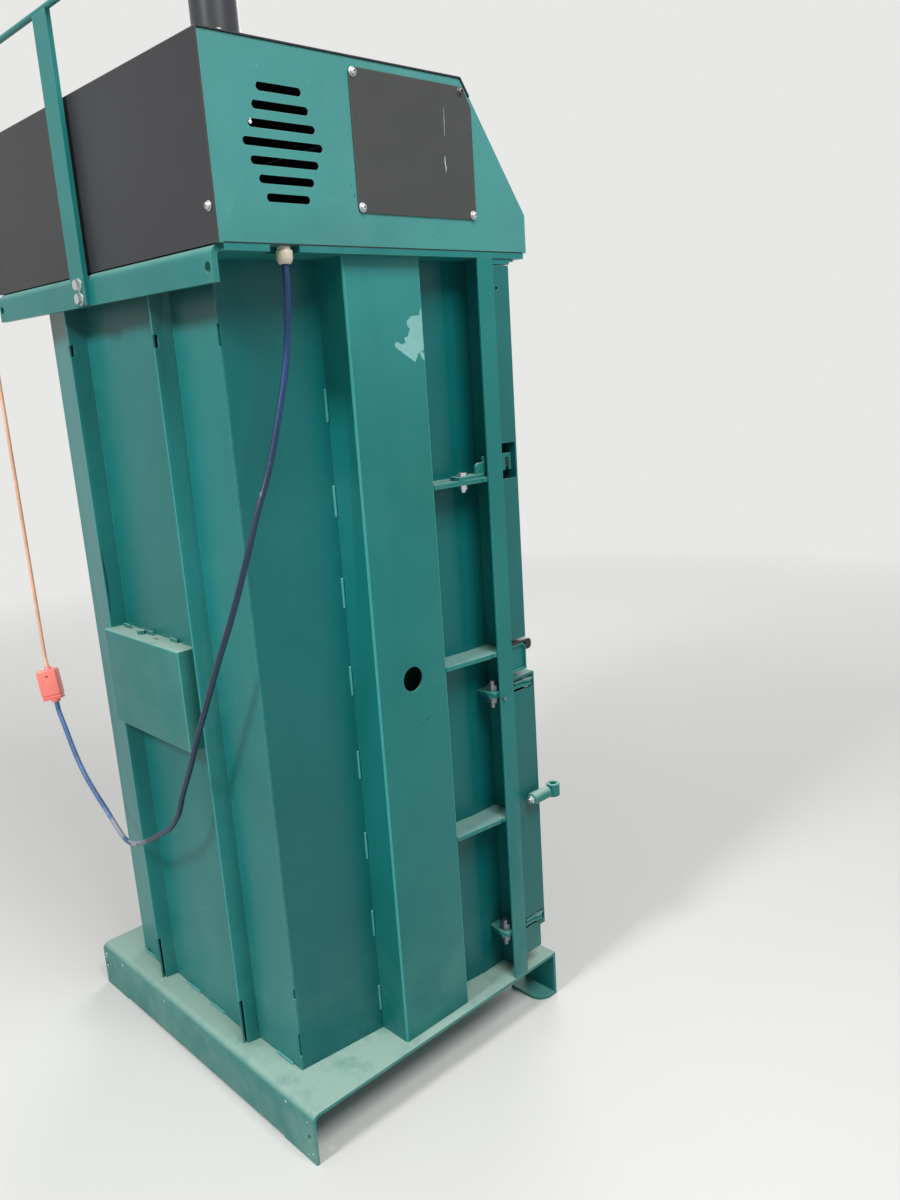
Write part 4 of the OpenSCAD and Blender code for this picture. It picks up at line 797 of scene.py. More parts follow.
@dataclass
class SupplyLine:
    """Blue cable, moulded connector and orange lead behind the machine.

    Attributes:
        cable: Route of the cable, from the gland down and up to the connector.
        lead: Route of the lead, from the connector up to the rail's ring.
        cable_d: Cable diameter in millimetres.
        lead_d: Lead diameter in millimetres.
        body: Width and depth of the connector.
        aside: How far its middle lies off the cords, right and back.
        collar: Height of the collar at each end.
        twist: How far its broad face is turned from the rear, in degrees.
        stepped: Height of its stepped lower end.
        steps: How far each step stands in, its foot and its top.
    """

    cable: list[Point] = field(default_factory=lambda: [
        (16, -150, 1781), (16, -150, 1769), (16, -150, 1757), (21, -150, 1714), (29, -149, 1664), (31, -138, 1600),
        (33, -105, 1490), (36, -80, 1417), (38, -50, 1350), (48, -20, 1260), (87, 0, 1155), (141, 9, 1060),
        (249, 14, 886), (293, 15, 812), (342, 15, 739), (373, 15, 686), (420, 15, 638), (487, 15, 597),
        (557, 15, 559), (621, 15, 532), (669, 15, 528), (702, 15, 543), (752, 15, 576), (818, 15, 618),
        (864, 15, 655), (902, 15, 701), (935, 15, 756), (958, 15, 792), (961, 15, 804), (964, 15, 816)])
    lead: list[Point] = field(default_factory=lambda: [
        (987, 15, 908), (989, 15, 916), (991, 15, 924), (993, 15, 960), (993, 15, 1180), (993, 15, 1500),
        (993, 15, 1860), (993, 15, 2294)])
    cable_d: float = 12.0
    lead_d: float = 9.0
    body: tuple[float, float] = (50.0, 38.0)
    aside: tuple[float, float] = (9.6, -0.1)
    collar: float = 8.0
    twist: float = 55.0
    stepped: float = 9.0
    steps: tuple[tuple[float, float, float], ...] = ((5.0, 0.0, 12.0), (1.5, 0.4, 3.4), (1.0, 5.0, 8.2))

    def smooth(self, route: list[Point], steps: int) -> list[Vector]:
        """Points of a smooth curve through a route.

        Args:
            route: Route points in millimetres.
            steps: Points per stretch.

        Returns:
            The curve's points in metres.
        """
        p = [place(*r) for r in route]
        n = len(p) - 1
        out: list[Vector] = []
        for i in range(n):
            a, b, c, d = p[max(i - 1, 0)], p[i], p[i + 1], p[min(i + 2, n)]
            for k in range(steps):
                t = k / steps
                out.append(0.5 * (2 * b + (c - a) * t + (2 * a - 5 * b + 4 * c - d) * t * t
                                  + (3 * b - a - 3 * c + d) * t * t * t))
        return out + [p[-1]]

    def cord_curve(self, name: str, points: list[Vector], diameter: float) -> bpy.types.Object:
        """A round cord as a curve of one open spline.

        Args:
            name: The piece's name.
            points: Its centre line.
            diameter: Diameter in millimetres.

        Returns:
            The curve object.
        """
        curve = bpy.data.curves.new(name, "CURVE")
        curve.dimensions = "3D"
        curve.bevel_depth = diameter / 2000
        curve.bevel_resolution = 4
        curve.use_fill_caps = True
        spline = curve.splines.new("POLY")
        spline.points.add(len(points) - 1)
        for spot, point in zip(spline.points, points):
            spot.co = (*point, 1.0)
        spline.use_smooth = True
        return in_scene(name, curve)

    def sheath(self, name: str, lit_shaded_dusty: list[Colour], wrap: Colour, wraps: float) -> bpy.types.Material:
        """Cord sheath with painted light and shade along its run, paler with dust at the far end, and dirty where it
        hangs low.

        Args:
            name: The material's name.
            lit_shaded_dusty: Colours near the gland, lighter with painted light; down the machine's side, darker with
                painted shade; and at the far end, paler with dust.
            wrap: Colour of the dirt and old tape.
            wraps: How much of it there is.

        Returns:
            The material.
        """
        g = Graph(name)
        # painted light near the gland and painted shade down the side, then dust towards the far end
        tone = g.blend(g.rise(g.along(2), 1.40, 1.62), lit_shaded_dusty[1], lit_shaded_dusty[0])
        tone = g.blend(g.rise(g.along(0), 0.05, 0.24), tone, lit_shaded_dusty[2])
        tone = g.blend(g.rise(g.noise(14.0, 5.0, 0.7), 0.42, 0.72, 0.5), tone, tuple(c * 0.5 for c in lit_shaded_dusty[1]))
        low = g.times(g.rise(g.along(0), 0.05, 0.12), g.rise(g.along(2), 0.62, 0.57))
        bands = g.rise(g.noise(1.0, 1.0, vector=g.stretched(26, 26, 26)), 0.44, 0.50)
        tone = g.blend(g.times(g.times(low, bands), wraps), tone, wrap)
        dirt = g.rise(g.noise(46.0, 5.0, 0.7), 0.56, 0.78, 0.3)
        tone = g.blend(dirt, tone, tuple(c * 0.5 + 0.008 for c in lit_shaded_dusty[1]))
        rubbed = g.times(g.rise(g.noise(70.0, 2.0), 0.68, 0.72), 0.3)
        tone = g.blend(rubbed, tone, tuple(min(1.0, c * 1.4 + 0.1) for c in lit_shaded_dusty[2]))
        g.finish(tone, g.plus(g.rise(dirt, 0, 1, 0.2), 0.40), g.noise(420, 2.0), 0.10, 0.0003)
        return g.material

    def connector(self) -> bpy.types.Object:
        """Moulded in-line connector: a rounded box with a stepped lower end, grip ribs and tapered collars.

        Returns:
            The connector's shell.
        """
        low, high = place(*self.cable[-1]), place(*self.lead[0])
        length = (high - low).length / MM
        wide, deep = self.body
        tall = length - 2 * self.collar
        bm = bmesh.new()
        sized_cube(bm, (wide, deep, tall - self.stepped), (0, 0, self.stepped / 2))
        round_edges(bm, bm.edges[:], 0.006, 4)
        for inset, foot, top in self.steps:
            step = bmesh.new()
            sized_cube(step, (wide - inset, deep - inset, top - foot), (0, 0, (foot + top - tall) / 2))
            upright = [e for e in step.edges if abs(e.verts[0].co.z - e.verts[1].co.z) > MM]
            round_edges(step, upright, 0.005, 4)
            absorb(bm, step)
        for k in range(5):
            for side in (-1, 1):
                sized_cube(bm, (1.4, deep / 2, 2.4), (side * (wide / 2 - 0.5), 0, 8 * k - 12))
        bmesh.ops.rotate(bm, cent=(0, 0, 0), matrix=Matrix.Rotation(math.radians(self.twist), 3, "Z"), verts=bm.verts)
        bmesh.ops.translate(bm, vec=Vector((*self.aside, length / 2)) * MM, verts=bm.verts)
        for foot, r0, r1 in ((0.2, self.cable_d / 2 + 3, self.cable_d / 2 + 7),
                             (length - self.collar - 2.2, self.lead_d / 2 + 7, self.lead_d / 2 + 2.5)):
            ring = bmesh.ops.create_cone(bm, cap_ends=True, segments=24, radius1=r0 * MM, radius2=r1 * MM,
                                         depth=(self.collar + 2) * MM)["verts"]
            bmesh.ops.translate(bm, vec=(0, 0, (foot + self.collar / 2 + 1) * MM), verts=ring)
        bmesh.ops.transform(bm, matrix=standing(low, high - low), verts=bm.verts)
        return piece_from(bm, "connector_shell")

    def cover_screw(self) -> bpy.types.Object:
        """Small dark screw in the connector's back.

        Returns:
            The screw.
        """
        low, high = place(*self.cable[-1]), place(*self.lead[0])
        turn = math.radians(self.twist + 90)
        out = Vector((math.cos(turn), math.sin(turn), 0))
        at = low.lerp(high, 0.74) + (Vector((*self.aside, 0)) + out * (self.body[1] / 2 - 0.6)) * MM
        return turned([(0.01, 0.6), (1.4, 0.7), (1.7, 1.3), (2.9, 1.1), (3.2, 0.3), (3.2, 0.0), (0.01, 0.0)], at,
                      out, "connector_screw", 16)

    def build(self) -> None:
        """Make the cable, the lead and the connector, and attach both cords to the frame."""
        cable_line = self.smooth(self.cable, 6)
        lead_line = self.smooth(self.lead, 12)
        cable = self.cord_curve("blue_supply_cable", cable_line, self.cable_d)
        cable.data.materials.append(self.sheath(
            "blue_sheath", [srgb(12, 50, 104), srgb(4, 38, 66), srgb(76, 112, 164)], srgb(150, 152, 158), 0.8))
        lead = self.cord_curve("orange_supply_lead", lead_line, self.lead_d)
        lead.data.materials.append(self.sheath(
            "orange_sheath", [srgb(246, 188, 160), srgb(245, 184, 154), srgb(246, 188, 158)], srgb(200, 150, 130),
            0.0))
        shell = rest_on(self.connector(), Body.FRAME, Finish.CORAL)
        screw = rest_on(self.cover_screw(), Body.FRAME, Finish.BLACK_PLASTIC)
        for piece, slot in ((cable, "blue_cable"), (lead, "orange_cable")):
            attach(piece, Body.FRAME.value)
        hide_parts("power_cable")
        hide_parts("supply_lead")
        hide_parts("supply_connector")
        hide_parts("supply_connector")


@dataclass
class SheetGroup:
    """Sub-assembly whose pieces are dressed CAD nodes.

    Attributes:
        sheets: Its nodes with their finishes.
    """

    sheets: list[Sheet]

    def build(self) -> None:
        """Dress every sheet."""
        for sheet in self.sheets:
            sheet.dress()


@dataclass
class WeldedFrame(SheetGroup):
    """Base, chamber, columns, posts, gussets and their welds."""

    sheets: list[Sheet] = field(default_factory=lambda: [
        Sheet("base_plate", Finish.TEAL_DUSTY, 0.0012), Sheet("front_feet", Finish.TEAL, 0.0012),
        Sheet("back_wall", Finish.TEAL_BACK, fold=0.003), Sheet("left_side_wall", Finish.TEAL_DEEP, fold=0.003),
        Sheet("right_side_wall", Finish.TEAL_DEEP, fold=0.003), Sheet("left_column", Finish.TEAL_FADED, 0.001, 0.004),
        Sheet("right_column", Finish.TEAL_FADED, 0.001, 0.004),
        Sheet("left_post", Finish.TEAL), Sheet("right_post", Finish.TEAL),
        Sheet("left_gussets", Finish.TEAL_MIST), Sheet("right_gussets", Finish.TEAL_MIST),
        Sheet("front_header", Finish.TEAL), Sheet("door_sill", Finish.TEAL), Sheet("sill_lip", Finish.RUBBER, 0.0012),
        Sheet("top_plate", Finish.TEAL_WORN, 0.0014), Sheet("back_cover_box", Finish.TEAL_DUSTY, 0.0008, 0.002),
        Sheet("strikers", Finish.TEAL_MIST), Sheet("striker_bolts", Finish.ZINC, 0.0005),
        Sheet("hinge_brackets", Finish.TEAL), Sheet("hinge_bolts", Finish.DULL, 0.0005),
        Sheet("hinge_pins", Finish.DULL, 0.0005)])

    def build(self) -> None:
        """Dress every sheet and lay the beads."""
        super().build()
        WeldBeads().build()


@dataclass
class WeldBeads:
    """Rippled weld beads over the CAD's plain runs.

    Attributes:
        width: Bead width in millimetres.
        run: Length of a run.
        corner: Distance of the corner's runs from the left and from the rear plane.
        lowest: Height of the lowest run in a corner.
        pitch: Height from one run to the next.
        count: Runs in a corner.
        middle: Distance of the back wall's middle.
        foot_from: Where the runs along the back wall's foot are measured from.
        foot: How far right and back of that place each of these runs starts.
        ripples: Rings along a bead.
    """

    width: float = 6.0
    run: float = 66.0
    corner: tuple[float, float] = (107.8, -280.0)
    lowest: float = 164.0
    pitch: float = 190.0
    count: int = 8
    middle: float = 490.0
    foot_from: Point = (130.0, -70.0, 121.0)
    foot: tuple[tuple[float, float], ...] = ((30, 2), (300, 9), (420, 5), (640, 7))
    ripples: int = 44

    def girth(self, t: float, rng: Random) -> float:
        """Share of the full radius at one place of a bead.

        Args:
            t: Place from 0 to 1.
            rng: Source of the unevenness.

        Returns:
            The share, small at both ends.
        """
        end = min(t, 1 - t) * 14
        cap = math.sqrt(max(0.04, 1 - (1 - end) ** 2)) if end < 1 else 1.0
        return cap * (0.84 + 0.22 * abs(math.sin(math.pi * t * self.ripples / 4)) + rng.uniform(-0.05, 0.08))

    def bead(self, bm: bmesh.types.BMesh, start: Vector, end: Vector, rng: Random) -> None:
        """Add one bead with ripples and rounded ends.

        Args:
            bm: The mesh that takes it.
            start: Its first end.
            end: Its last end.
            rng: Source of the unevenness.
        """
        way = end - start
        length = way.length
        one = bmesh.new()
        radius = self.width / 2 * MM
        bmesh.ops.create_cone(one, cap_ends=True, segments=10, radius1=radius, radius2=radius, depth=length)
        sides = [e for e in one.edges if abs(e.verts[0].co.z - e.verts[1].co.z) > length / 2]
        bmesh.ops.subdivide_edges(one, edges=sides, cuts=self.ripples)
        sizes = [self.girth(i / (self.ripples + 1), rng) for i in range(self.ripples + 2)]
        for vert in one.verts:
            size = sizes[round((vert.co.z / length + 0.5) * (self.ripples + 1))]
            vert.co.x *= size
            vert.co.y *= size
        bmesh.ops.transform(one, matrix=standing(start.lerp(end, 0.5), way), verts=one.verts)
        absorb(bm, one)

    def build(self) -> None:
        """Lay every bead as one piece."""
        rng = Random(41)
        bm = bmesh.new()
        near, back = self.corner
        for u in (near, 2 * self.middle - near):
            for i in range(self.count):
                z = self.lowest + i * self.pitch
                self.bead(bm, place(u, back, z), place(u, back, z + self.run), rng)
        left, rear, height = self.foot_from
        for start, out in self.foot:
            at = [place(left + start + step, rear + out, height) for step in (0, self.run)]
            self.bead(bm, *at, rng)
        bmesh.ops.recalc_face_normals(bm, faces=bm.faces)
        beads = rest_on(piece_from(bm, "weld_beads", 80.0), Body.FRAME, Finish.WELD)
        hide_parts("stitch_welds")


@dataclass(frozen=True)
class Flake:
    """A thin torn scrap or scratch that lies on a sheet.

    Attributes:
        name: The piece's name.
        outline: Corners in millimetres from the rear left corner.
        out: Direction away from the sheet.
        finish: Its finish.
        torn: How far its outline wanders, in millimetres.
        thick: Its thickness in millimetres.
    """

    name: str
    outline: list[Point]
    out: Point
    finish: Finish
    torn: float = 1.2
    thick: float = 0.2

    def build(self) -> None:
        """Make the scrap as a thin closed plate."""
        rng = Random(len(self.name) * 7 + len(self.outline))
        out = Vector(self.out)
        corners = [place(*c) for c in self.outline]
        ring: list[Vector] = []
        for a, b in zip(corners, corners[1:] + corners[:1]):
            steps = max(1, int((b - a).length / 0.004)) if self.torn else 1
            for k in range(steps):
                stray = Vector([rng.uniform(-1, 1) for _ in range(3)]) * (self.torn * MM if k else 0.0)
                ring.append(a.lerp(b, k / steps) + stray - out * stray.dot(out))
        bm = bmesh.new()
        face = bm.faces.new([bm.verts.new(p) for p in ring])
        grown = bmesh.ops.extrude_face_region(bm, geom=[face])["geom"]
        bmesh.ops.translate(bm, vec=out * self.thick * MM,
                            verts=[v for v in grown if isinstance(v, bmesh.types.BMVert)])
        bmesh.ops.recalc_face_normals(bm, faces=bm.faces)
        bmesh.ops.triangulate(bm, faces=bm.faces)
        rest_on(piece_from(bm, self.name, 20.0), Body.FRAME, self.finish)


@dataclass
class SurfaceMarks:
    """Torn paper, scratches and chips that the photo shows on the sheets."""

    def strip(self, points: list[Point], width: float) -> list[Point]:
        """Outline of a narrow strip along points on a sheet that faces left or back.

        Args:
            points: Its middle line.
            width: Its width in millimetres.

        Returns:
            Its corners in order.
        """
        sheet_faces = Vector((1, 0, 0) if abs(points[0][0] - points[-1][0]) < 0.01 else REAR)
        ahead, back = [], []
        for i, (u, v, z) in enumerate(points):
            near, far = points[max(i - 1, 0)], points[min(i + 1, len(points) - 1)]
            way = Vector(far) - Vector(near)
            half = width / 2 if 0 < i < len(points) - 1 else width / 5
            off = way.cross(sheet_faces).normalized() * half
            ahead.append((u + off.x, v + off.y, z + off.z))
            back.append((u - off.x, v - off.y, z - off.z))
        return ahead + back[::-1]

    def flakes(self) -> list[Flake]:
        """Every scrap, scratch and chip.

        Returns:
            The flakes.
        """
        label = [(-473.4, 1706.7), (-468.7, 1697.2), (-466.6, 1689.5), (-455.9, 1689.7), (-443.7, 1688.0),
                 (-432.1, 1677.7), (-433.9, 1669.1), (-439.5, 1665.1), (-433.4, 1650.4), (-422.5, 1647.4),
                 (-426.3, 1638.6), (-414.7, 1635.2), (-406.0, 1640.3), (-398.8, 1639.6), (-396.7, 1632.0),
                 (-423.2, 1614.7), (-447.9, 1600.0), (-457.6, 1616.1), (-466.0, 1619.6), (-473.4, 1624.3)]
        tail = [(-461.1, 1617.0), (-467.0, 1606.9), (-473.4, 1599.7), (-473.4, 1612.5), (-469.2, 1619.6)]
        found = [Flake(name, [(COLUMN_U, v, z) for v, z in scrap], LEFT, Finish.PAPER, torn, 0.25)
                 for name, scrap, torn in (("label_remnant", label, 0.5), ("label_tail", tail, 0.3))]
        scratches = [
            ("plate_scratch_long", [(PLATE_U, -543, 2074), (PLATE_U, -542.4, 2050), (PLATE_U, -541.2, 2023)], 0.7,
             LEFT, Finish.CHALK, 0.0, 0.08),
            ("plate_scrape", [(PLATE_U, -539.3, 1987), (PLATE_U, -538.4, 1974), (PLATE_U, -540.6, 1966),
                              (PLATE_U, -539.4, 1958)], 1.9, LEFT, Finish.CHALK, 0.3, 0.12),
            ("panel_scratch", [(481, -62.1, 384.4), (460.5, -61.5, 388.8), (442, -60.8, 385.8),
                               (432.3, -60.5, 376.7)], 1.6, REAR, Finish.WELD, 0.0, 0.08),
            # dark line along the first channel's fold
            ("channel_score", [(678.8, -34.0, 1222), (678.4, -36.2, 1157), (678.8, -35.2, 1081)], 2.4,
             (-0.98, 0.2, 0), Finish.SEAL, 0.0, 0.7),
            ("column_scuff_low", [(COLUMN_U, -393.2, 843.0), (COLUMN_U, -403.6, 845.2)], 2.2,
             LEFT, Finish.SEAL, 0.0, 0.08),
            ("column_scuff_high", [(COLUMN_U, -406.8, 847.9), (COLUMN_U, -413.6, 851.3), (COLUMN_U, -421.2, 857.3)],
             2.2, LEFT, Finish.SEAL, 0.0, 0.08)]
        found += [Flake(name, self.strip(line, width), out, finish, torn, thick)
                  for name, line, width, out, finish, torn, thick in scratches]
        scrap = [(478, -40, 1046), (495, -41, 1046), (492, -46, 1046), (480, -45, 1046)]
        found.append(Flake("cover_box_scrap", scrap, ABOVE, Finish.PINK, 1.0, 1.6))
        rng = Random(77)
        chips = [(96, 104), (848, 99), (930, 66), (946, 58), (951, 80), (944, 92), (622, 96), (20, 96), (12, 22),
                 (28, 12)]
        for k, (u, z) in enumerate(chips):
            size = rng.uniform(2.0, 4.6)
            corners = [(u + size * math.cos(a) * rng.uniform(0.6, 1.3), 0.0,
                        z + size * math.sin(a) * rng.uniform(0.4, 1.0)) for a in (0.2, 1.3, 2.4, 3.5, 4.6, 5.7)]
            found.append(Flake(f"flange_chip_{k + 1}", corners, REAR, Finish.CHALK, 0.0, 0.1))
        return found

    def build(self) -> None:
        """Make every flake, and a small white dome at the third vent slot's end: a painted glint on a small part
        there.
        """
        for flake in self.flakes():
            flake.build()
        # white dome: painted glint at the slot's end
        glint_dome = turned([(0.01, 0.0), (2.9, 0.0), (3.3, 0.6), (2.8, 1.4), (1.3, 1.8), (0.01, 1.9)],
                     place(0, -95.5, 2003.5), Vector(LEFT), "vent_slot_tag", 18)
        rest_on(glint_dome, Body.FRAME, Finish.CHALK)


@dataclass
class HousingScrews:
    """Domed screws with washers on the housing.

    Attributes:
        spots: Foot of each screw and the way its head stands.
        stained: Number of the one stained screw.
    """

    spots: list[tuple[Point, tuple[int, int, int]]] = field(default_factory=lambda: [
        ((PLATE_U, -321, 1881), LEFT), ((PLATE_U, -321, 2109), LEFT), ((PLATE_U, -590, 2109), LEFT),
        ((PLATE_U, -610, 1881), LEFT), ((15, -63, 2136), ABOVE), ((15, -563, 2136), ABOVE),
        ((953, -63, 2136), ABOVE), ((953, -563, 2136), ABOVE), ((14, -8, 1870), REAR), ((954, -8, 1870), REAR)])
    stained: int = 2

    def build(self) -> None:
        """Make each washer and head in place of the CAD's plain ones."""
        for k, (spot, out) in enumerate(self.spots):
            at, way = place(*spot), Vector(out)
            finish = Finish.STAINED if k == self.stained else Finish.ZINC
            washer = turned([(0.01, 0.0), (8.5, 0.0), (8.5, 1.0), (8.0, 1.3), (0.01, 1.3)], at, way,
                            f"housing_washer_{k + 1}")
            head = turned([(0.01, 3.6), (2.4, 3.6), (2.8, 6.8), (4.4, 6.4), (6.0, 4.8), (6.6, 3.0), (6.6, 1.3),
                           (0.01, 1.3)], at, way, f"housing_screw_{k + 1}")
            for piece in (washer, head):
                rest_on(piece, Body.FRAME, finish)
                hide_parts("housing_screws")


@dataclass
class CableGland:
    """Screwed gland: pale body above, fluted clamping nut below.

    Attributes:
        at: Foot of the gland on the cable's axis.
        flutes: Grip flutes round the nut.
        lock_r: Corner radius of the lock nut in metres.
        lock_z: Height of the lock nut's middle.
    """

    at: Point = (16.0, -150.0, 1781.1)
    flutes: int = 16
    lock_r: float = 0.0144
    lock_z: float = 1817.5

    def build(self) -> None:
        """Make the body, the nut and the lock nut inside the housing."""
        foot = place(*self.at)
        body = turned([(6.2, 15.0), (12.0, 15.0), (12.0, 28.9), (10.0, 28.9), (10.0, 33.4), (6.2, 33.4), (6.2, 15.0)],
                      foot, UP, "gland_body")
        steps = self.flutes * 4
        nut = turned([(6.2, 0.0), (10.4, 0.0), (12.2, 2.2), (14.4, 8.0), (14.7, 9.0), (14.7, 21.6), (14.0, 22.6),
                      (12.2, 22.9), (6.2, 22.9), (6.2, 0.0)], foot, UP, "gland_clamping_nut", steps)
        for spot in nut.data.vertices:
            out = spot.co - foot
            step = round(math.atan2(out.y, out.x) / math.tau * steps)
            if 0.0085 < out.z < 0.022 and step % 4 == 0:
                spot.co = foot + Vector((out.x * 0.952, out.y * 0.952, out.z))
        lock = bmesh.new()
        bmesh.ops.create_cone(lock, cap_ends=True, segments=6, radius1=self.lock_r, radius2=self.lock_r, depth=0.006)
        bmesh.ops.translate(lock, vec=place(self.at[0], self.at[1], self.lock_z), verts=lock.verts)
        lock_nut = eased(piece_from(lock, "gland_lock_nut"), 0.0008)
        for piece, finish in ((body, Finish.IVORY), (nut, Finish.TAN), (lock_nut, Finish.IVORY)):
            rest_on(piece, Body.FRAME, finish)
            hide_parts("cable_gland")


@dataclass
class DoorEye:
    """Boss on the lower door's edge with its stud, nut and upright eye.

    Attributes:
        u: Distance of the boss's axis.
        z: Height of the axis.
        back: Rear end of the boss.
        front: Front end of the boss.
        eye_v: Middle of the eye.
        boss_r: Radius of the boss.
        nut_r: Corner radius of the nut in metres.
    """

    u: float = -13.5
    z: float = 571.0
    back: float = -691.0
    front: float = -746.0
    eye_v: float = -768.0
    boss_r: float = 14.6
    nut_r: float = 0.01097

    def build(self) -> None:
        """Make the five pieces in place of the CAD's one."""
        ahead = Vector((0, -1, 0))
        length = self.back - self.front
        r = self.boss_r
        boss = turned([(6.0, 0.0), (r - 1.2, 0.0), (r, 1.2), (r, length - 1.2), (r - 1.2, length), (6.0, length),
                       (6.0, 0.0)], place(self.u, self.back, self.z), ahead, "door_eye_boss", 40)
        stud = turned([(0.01, 0.0), (5.2, 0.0), (6.0, 0.9), (6.0, 75.0), (0.01, 75.0)],
                      place(self.u, self.back + 12, self.z), ahead, "door_eye_stud", 24)
        eye = turned([(8.5, 1.2), (9.7, 0.0), (14.6, 0.0), (16.0, 1.4), (16.0, 30.6), (14.6, 32.0), (9.7, 32.0),
                      (8.5, 30.8), (8.5, 1.2)], place(self.u, self.eye_v, self.z - 16), UP, "door_eye_ring", 40)
        bm = bmesh.new()
        bmesh.ops.create_cone(bm, cap_ends=True, segments=6, radius1=self.nut_r, radius2=self.nut_r, depth=0.008)
        bmesh.ops.rotate(bm, cent=(0, 0, 0), matrix=Matrix.Rotation(math.pi / 2, 3, "X"), verts=bm.verts)
        bmesh.ops.translate(bm, vec=place(self.u, self.back + 4, self.z), verts=bm.verts)
        nut = eased(piece_from(bm, "door_eye_nut"), 0.0008)
        pad = block(place(self.u + 5, self.back - 50, self.z - 8), place(3, self.back - 5, self.z + 8),
                    "door_eye_pad")
        for piece, finish in ((boss, Finish.TEAL_DUSTY), (pad, Finish.TEAL_DUSTY), (stud, Finish.ZINC),
                              (eye, Finish.TEAL_WORN), (nut, Finish.ZINC)):
            rest_on(piece, Body.LOWER_DOOR, finish)
            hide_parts("eye_bolt")


@dataclass
class HousingShadowStrips:
    """Thin dark strips under the housing's side panels: painted shadow of the gap under each panel.

    Attributes:
        sides: Name of each strip with its inner and outer face.
        reach: Its front and rear end.
        heights: Its lower and upper face.
    """

    sides: tuple[tuple[str, float, float], ...] = (("left_housing_seal", -0.3, 0.0),
                                                   ("right_housing_seal", 968.0, 968.3))
    reach: tuple[float, float] = (-757.0, -20.0)
    heights: tuple[float, float] = (1811.2, 1813.6)

    def build(self) -> None:
        """Lay one thin strip under each side panel."""
        for name, *across in self.sides:
            low, high = (place(u, v, z) for u, v, z in zip(across, self.reach, self.heights))
            # a dark strip as painted shadow of the gap under the panel
            rest_on(block(low, high, name, 0.0001, 1), Body.FRAME, Finish.SEAL)


@dataclass
class TopHousing(SheetGroup):
    """Covers, controls and what stands inside them."""

    sheets: list[Sheet] = field(default_factory=lambda: [
        Sheet("left_housing_panel", Finish.TEAL_PALE, 0.0006, 0.0022),
        Sheet("right_housing_panel", Finish.TEAL_PALE, 0.0006, 0.0022),
        Sheet("top_cover", Finish.BLACK, 0.0006, 0.002), Sheet("control_panel", Finish.TEAL_PALE, 0.0006, 0.002),
        Sheet("access_plate", Finish.PLATE_BLACK), Sheet("start_button", Finish.GREEN, 0.0008),
        Sheet("return_button", Finish.BLACK_PLASTIC, 0.0008), Sheet("emergency_stop", Finish.RED, 0.0),
        Sheet("key_switch", Finish.ZINC, 0.0006), Sheet("electrical_box", Finish.GREY),
        Sheet("oil_tank", Finish.CHARCOAL, 0.002), Sheet("motor_housing", Finish.GREY, 0.0),
        Sheet("motor_rotor", Finish.STEEL, 0.0), Sheet("hydraulic_pump", Finish.STEEL, 0.0),
        Sheet("valve_block", Finish.GREY, 0.001), Sheet("hydraulic_pipes", Finish.STEEL, 0.0)])


@dataclass
class PressRam(SheetGroup):
    """Cylinder, rod and press plate."""

    sheets: list[Sheet] = field(default_factory=lambda: [
        Sheet("cylinder_flange", Finish.CHARCOAL, 0.001), Sheet("cylinder_barrel", Finish.CHARCOAL, 0.0),
        Sheet("cylinder_cap", Finish.CHARCOAL, 0.001), Sheet("rod_gland", Finish.STEEL, 0.0),
        Sheet("piston_rod", Finish.CHROME, 0.0), Sheet("press_plate", Finish.TEAL_DUSTY),
        Sheet("slide_shoes", Finish.NYLON, 0.001)])


@dataclass
class Doors(SheetGroup):
    """Both doors with their ears and catches."""

    sheets: list[Sheet] = field(default_factory=lambda: [
        Sheet("lower_door", Finish.TEAL_DOOR, 0.001), Sheet("lower_door_ears", Finish.TEAL_MIST),
        Sheet("lower_catch", Finish.BLACK, 0.001),
        Sheet("upper_door", Finish.TEAL_DOOR, 0.001), Sheet("upper_door_ears", Finish.TEAL_MIST),
        Sheet("upper_catch", Finish.BLACK, 0.001)])


@dataclass
class Rack(SheetGroup):
    """Upright bar behind the machine with its rail."""

    sheets: list[Sheet] = field(default_factory=lambda: [
        Sheet("rack_upright", Finish.TEAL, 0.001), Sheet("rack_bolts", Finish.ZINC, 0.0005),
        Sheet("rack_rail", Finish.TEAL, 0.0)])


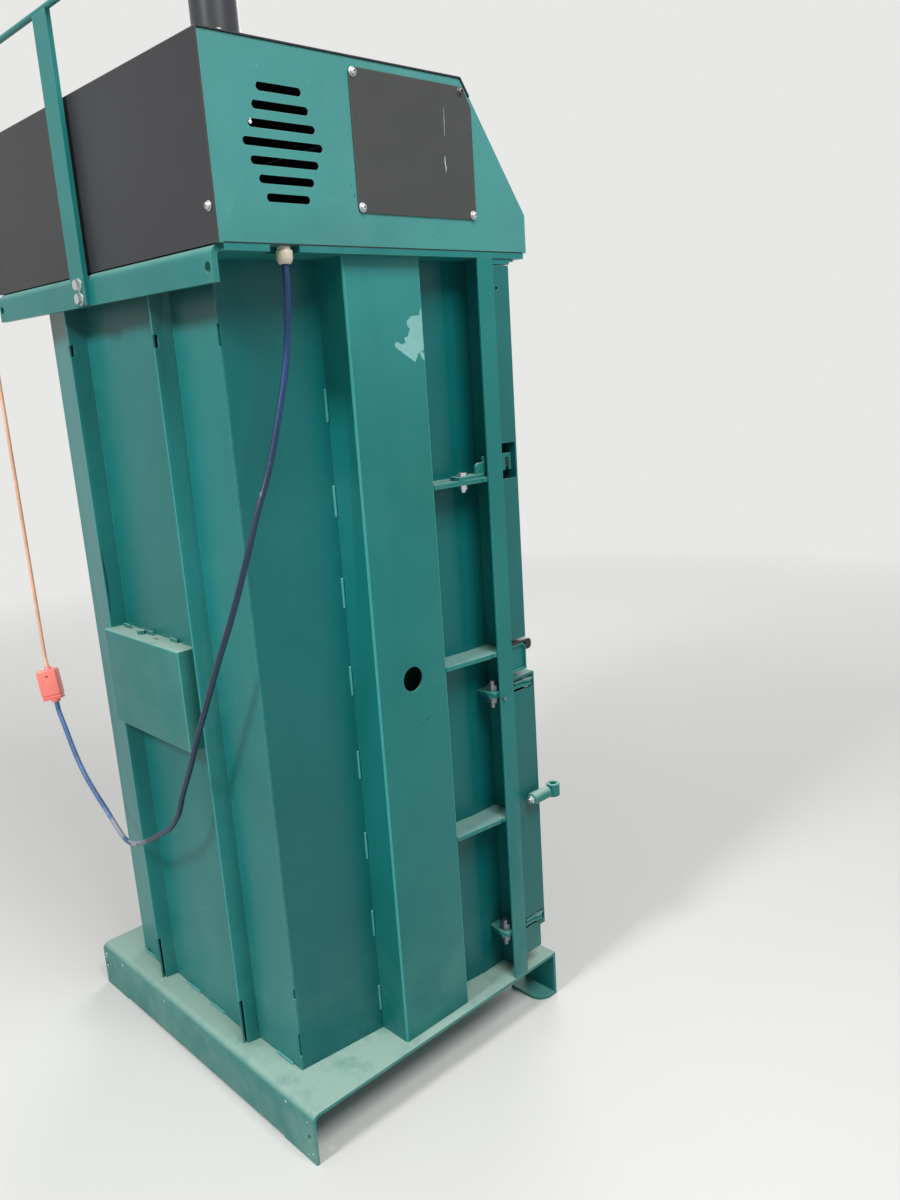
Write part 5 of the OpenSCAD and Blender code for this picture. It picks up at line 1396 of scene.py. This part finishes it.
@dataclass(frozen=True)
class Studio:
    """Pale floor that fades into a pale backdrop, and plain soft light.

    Attributes:
        floor: Linear floor colour.
        backdrop: Linear backdrop colour.
        daylight: Linear colour of the even light all round.
        sky: Its strength.
        key: Power of the lamp behind and above, in watts.
        side: Power of the wide lamp on the left.
        front: Power of the wide lamp in front.
    """

    floor: Colour = srgb(214, 213, 210)
    backdrop: Colour = srgb(232, 232, 230)
    daylight: Colour = (0.97, 0.99, 1.0)
    sky: float = 0.36
    key: float = 210.0
    side: float = 150.0
    front: float = 80.0

    def ground(self) -> bpy.types.Object:
        """Floor sheet whose far part lets the backdrop show.

        Returns:
            The floor.
        """
        bm = bmesh.new()
        bmesh.ops.create_grid(bm, x_segments=2, y_segments=2, size=12.0)
        floor = piece_from(bm, "studio_floor")
        g = Graph("studio_floor")
        tone = g.blend(g.noise(2.0, 3.0), tuple(c * 0.97 for c in self.floor), self.floor)
        g.finish(tone, 0.85, g.noise(60.0), 0.02, 0.0005)
        reach = g.feed(g.node("ShaderNodeVectorMath", operation="LENGTH"), {0: g.here}).outputs["Value"]
        mixer = g.feed(g.node("ShaderNodeMixShader"), {0: g.rise(reach, 1.6, 6.0), 1: g.shader.outputs[0],
                                                       2: g.node("ShaderNodeBsdfTransparent").outputs[0]})
        output = next(n for n in g.tree.nodes if n.bl_idname == "ShaderNodeOutputMaterial")
        g.tree.links.new(mixer.outputs[0], output.inputs[0])
        floor.data.materials.append(g.material)
        return floor

    def build(self) -> None:
        """Make floor, lamps and world."""
        self.ground()
        world = bpy.data.worlds.new("studio")
        world.use_nodes = True
        tree = world.node_tree
        tree.nodes.clear()
        out = tree.nodes.new("ShaderNodeOutputWorld")
        mixer = tree.nodes.new("ShaderNodeMixShader")
        for place_in, (colour, strength) in enumerate(((self.daylight, self.sky), (self.backdrop, 1.0)), 1):
            shade = tree.nodes.new("ShaderNodeBackground")
            shade.inputs[0].default_value = (*colour, 1.0)
            shade.inputs[1].default_value = strength
            tree.links.new(shade.outputs[0], mixer.inputs[place_in])
        path = tree.nodes.new("ShaderNodeLightPath")
        shown = path.outputs["Is Camera Ray"]
        for ray in ("Is Glossy Ray", "Is Transmission Ray"):
            either = tree.nodes.new("ShaderNodeMath")
            either.operation = "MAXIMUM"
            tree.links.new(shown, either.inputs[0])
            tree.links.new(path.outputs[ray], either.inputs[1])
            shown = either.outputs[0]
        tree.links.new(shown, mixer.inputs[0])
        tree.links.new(mixer.outputs[0], out.inputs[0])
        bpy.context.scene.world = world
        self.lamp("key", Vector((-0.5, 4.2, 4.9)), Vector((0, 0, 1.0)), 0.9, self.key)
        self.lamp("side", Vector((-2.9, 0.3, 4.5)), Vector((-0.4, 0, 1.2)), 1.8, self.side)
        self.lamp("front", Vector((2.6, -3.8, 3.2)), Vector((0, 0, 1.2)), 2.6, self.front)

    def lamp(self, name: str, at: Vector, aim: Vector, size: float, watts: float) -> None:
        """A square soft lamp.

        Args:
            name: The lamp's name.
            at: Its place.
            aim: The point it faces.
            size: Side of the square in metres.
            watts: Power.
        """
        data = bpy.data.lights.new(name, "AREA")
        data.energy = watts
        data.size = size
        lamp = in_scene(name, data)
        lamp.matrix_world = Matrix.Translation(at) @ (aim - at).to_track_quat("-Z", "Y").to_matrix().to_4x4()


def main() -> None:
    """Build the camera, the cords, the machine and the studio, in that order."""
    logging.basicConfig(level=logging.INFO, format="%(name)s: %(message)s")
    bpy.context.scene.view_settings.view_transform = "Standard"
    PhotoCamera().build()
    SupplyLine().build()
    for part in (WeldedFrame(), TopHousing(), HousingScrews(), HousingShadowStrips(), CableGland(), PressRam(), Doors(),
                 DoorEye(), Rack(), SurfaceMarks()):
        LOG.info("building %s", type(part).__name__)
        part.build()
    Studio().build()


if __name__ == "__main__":
    main()
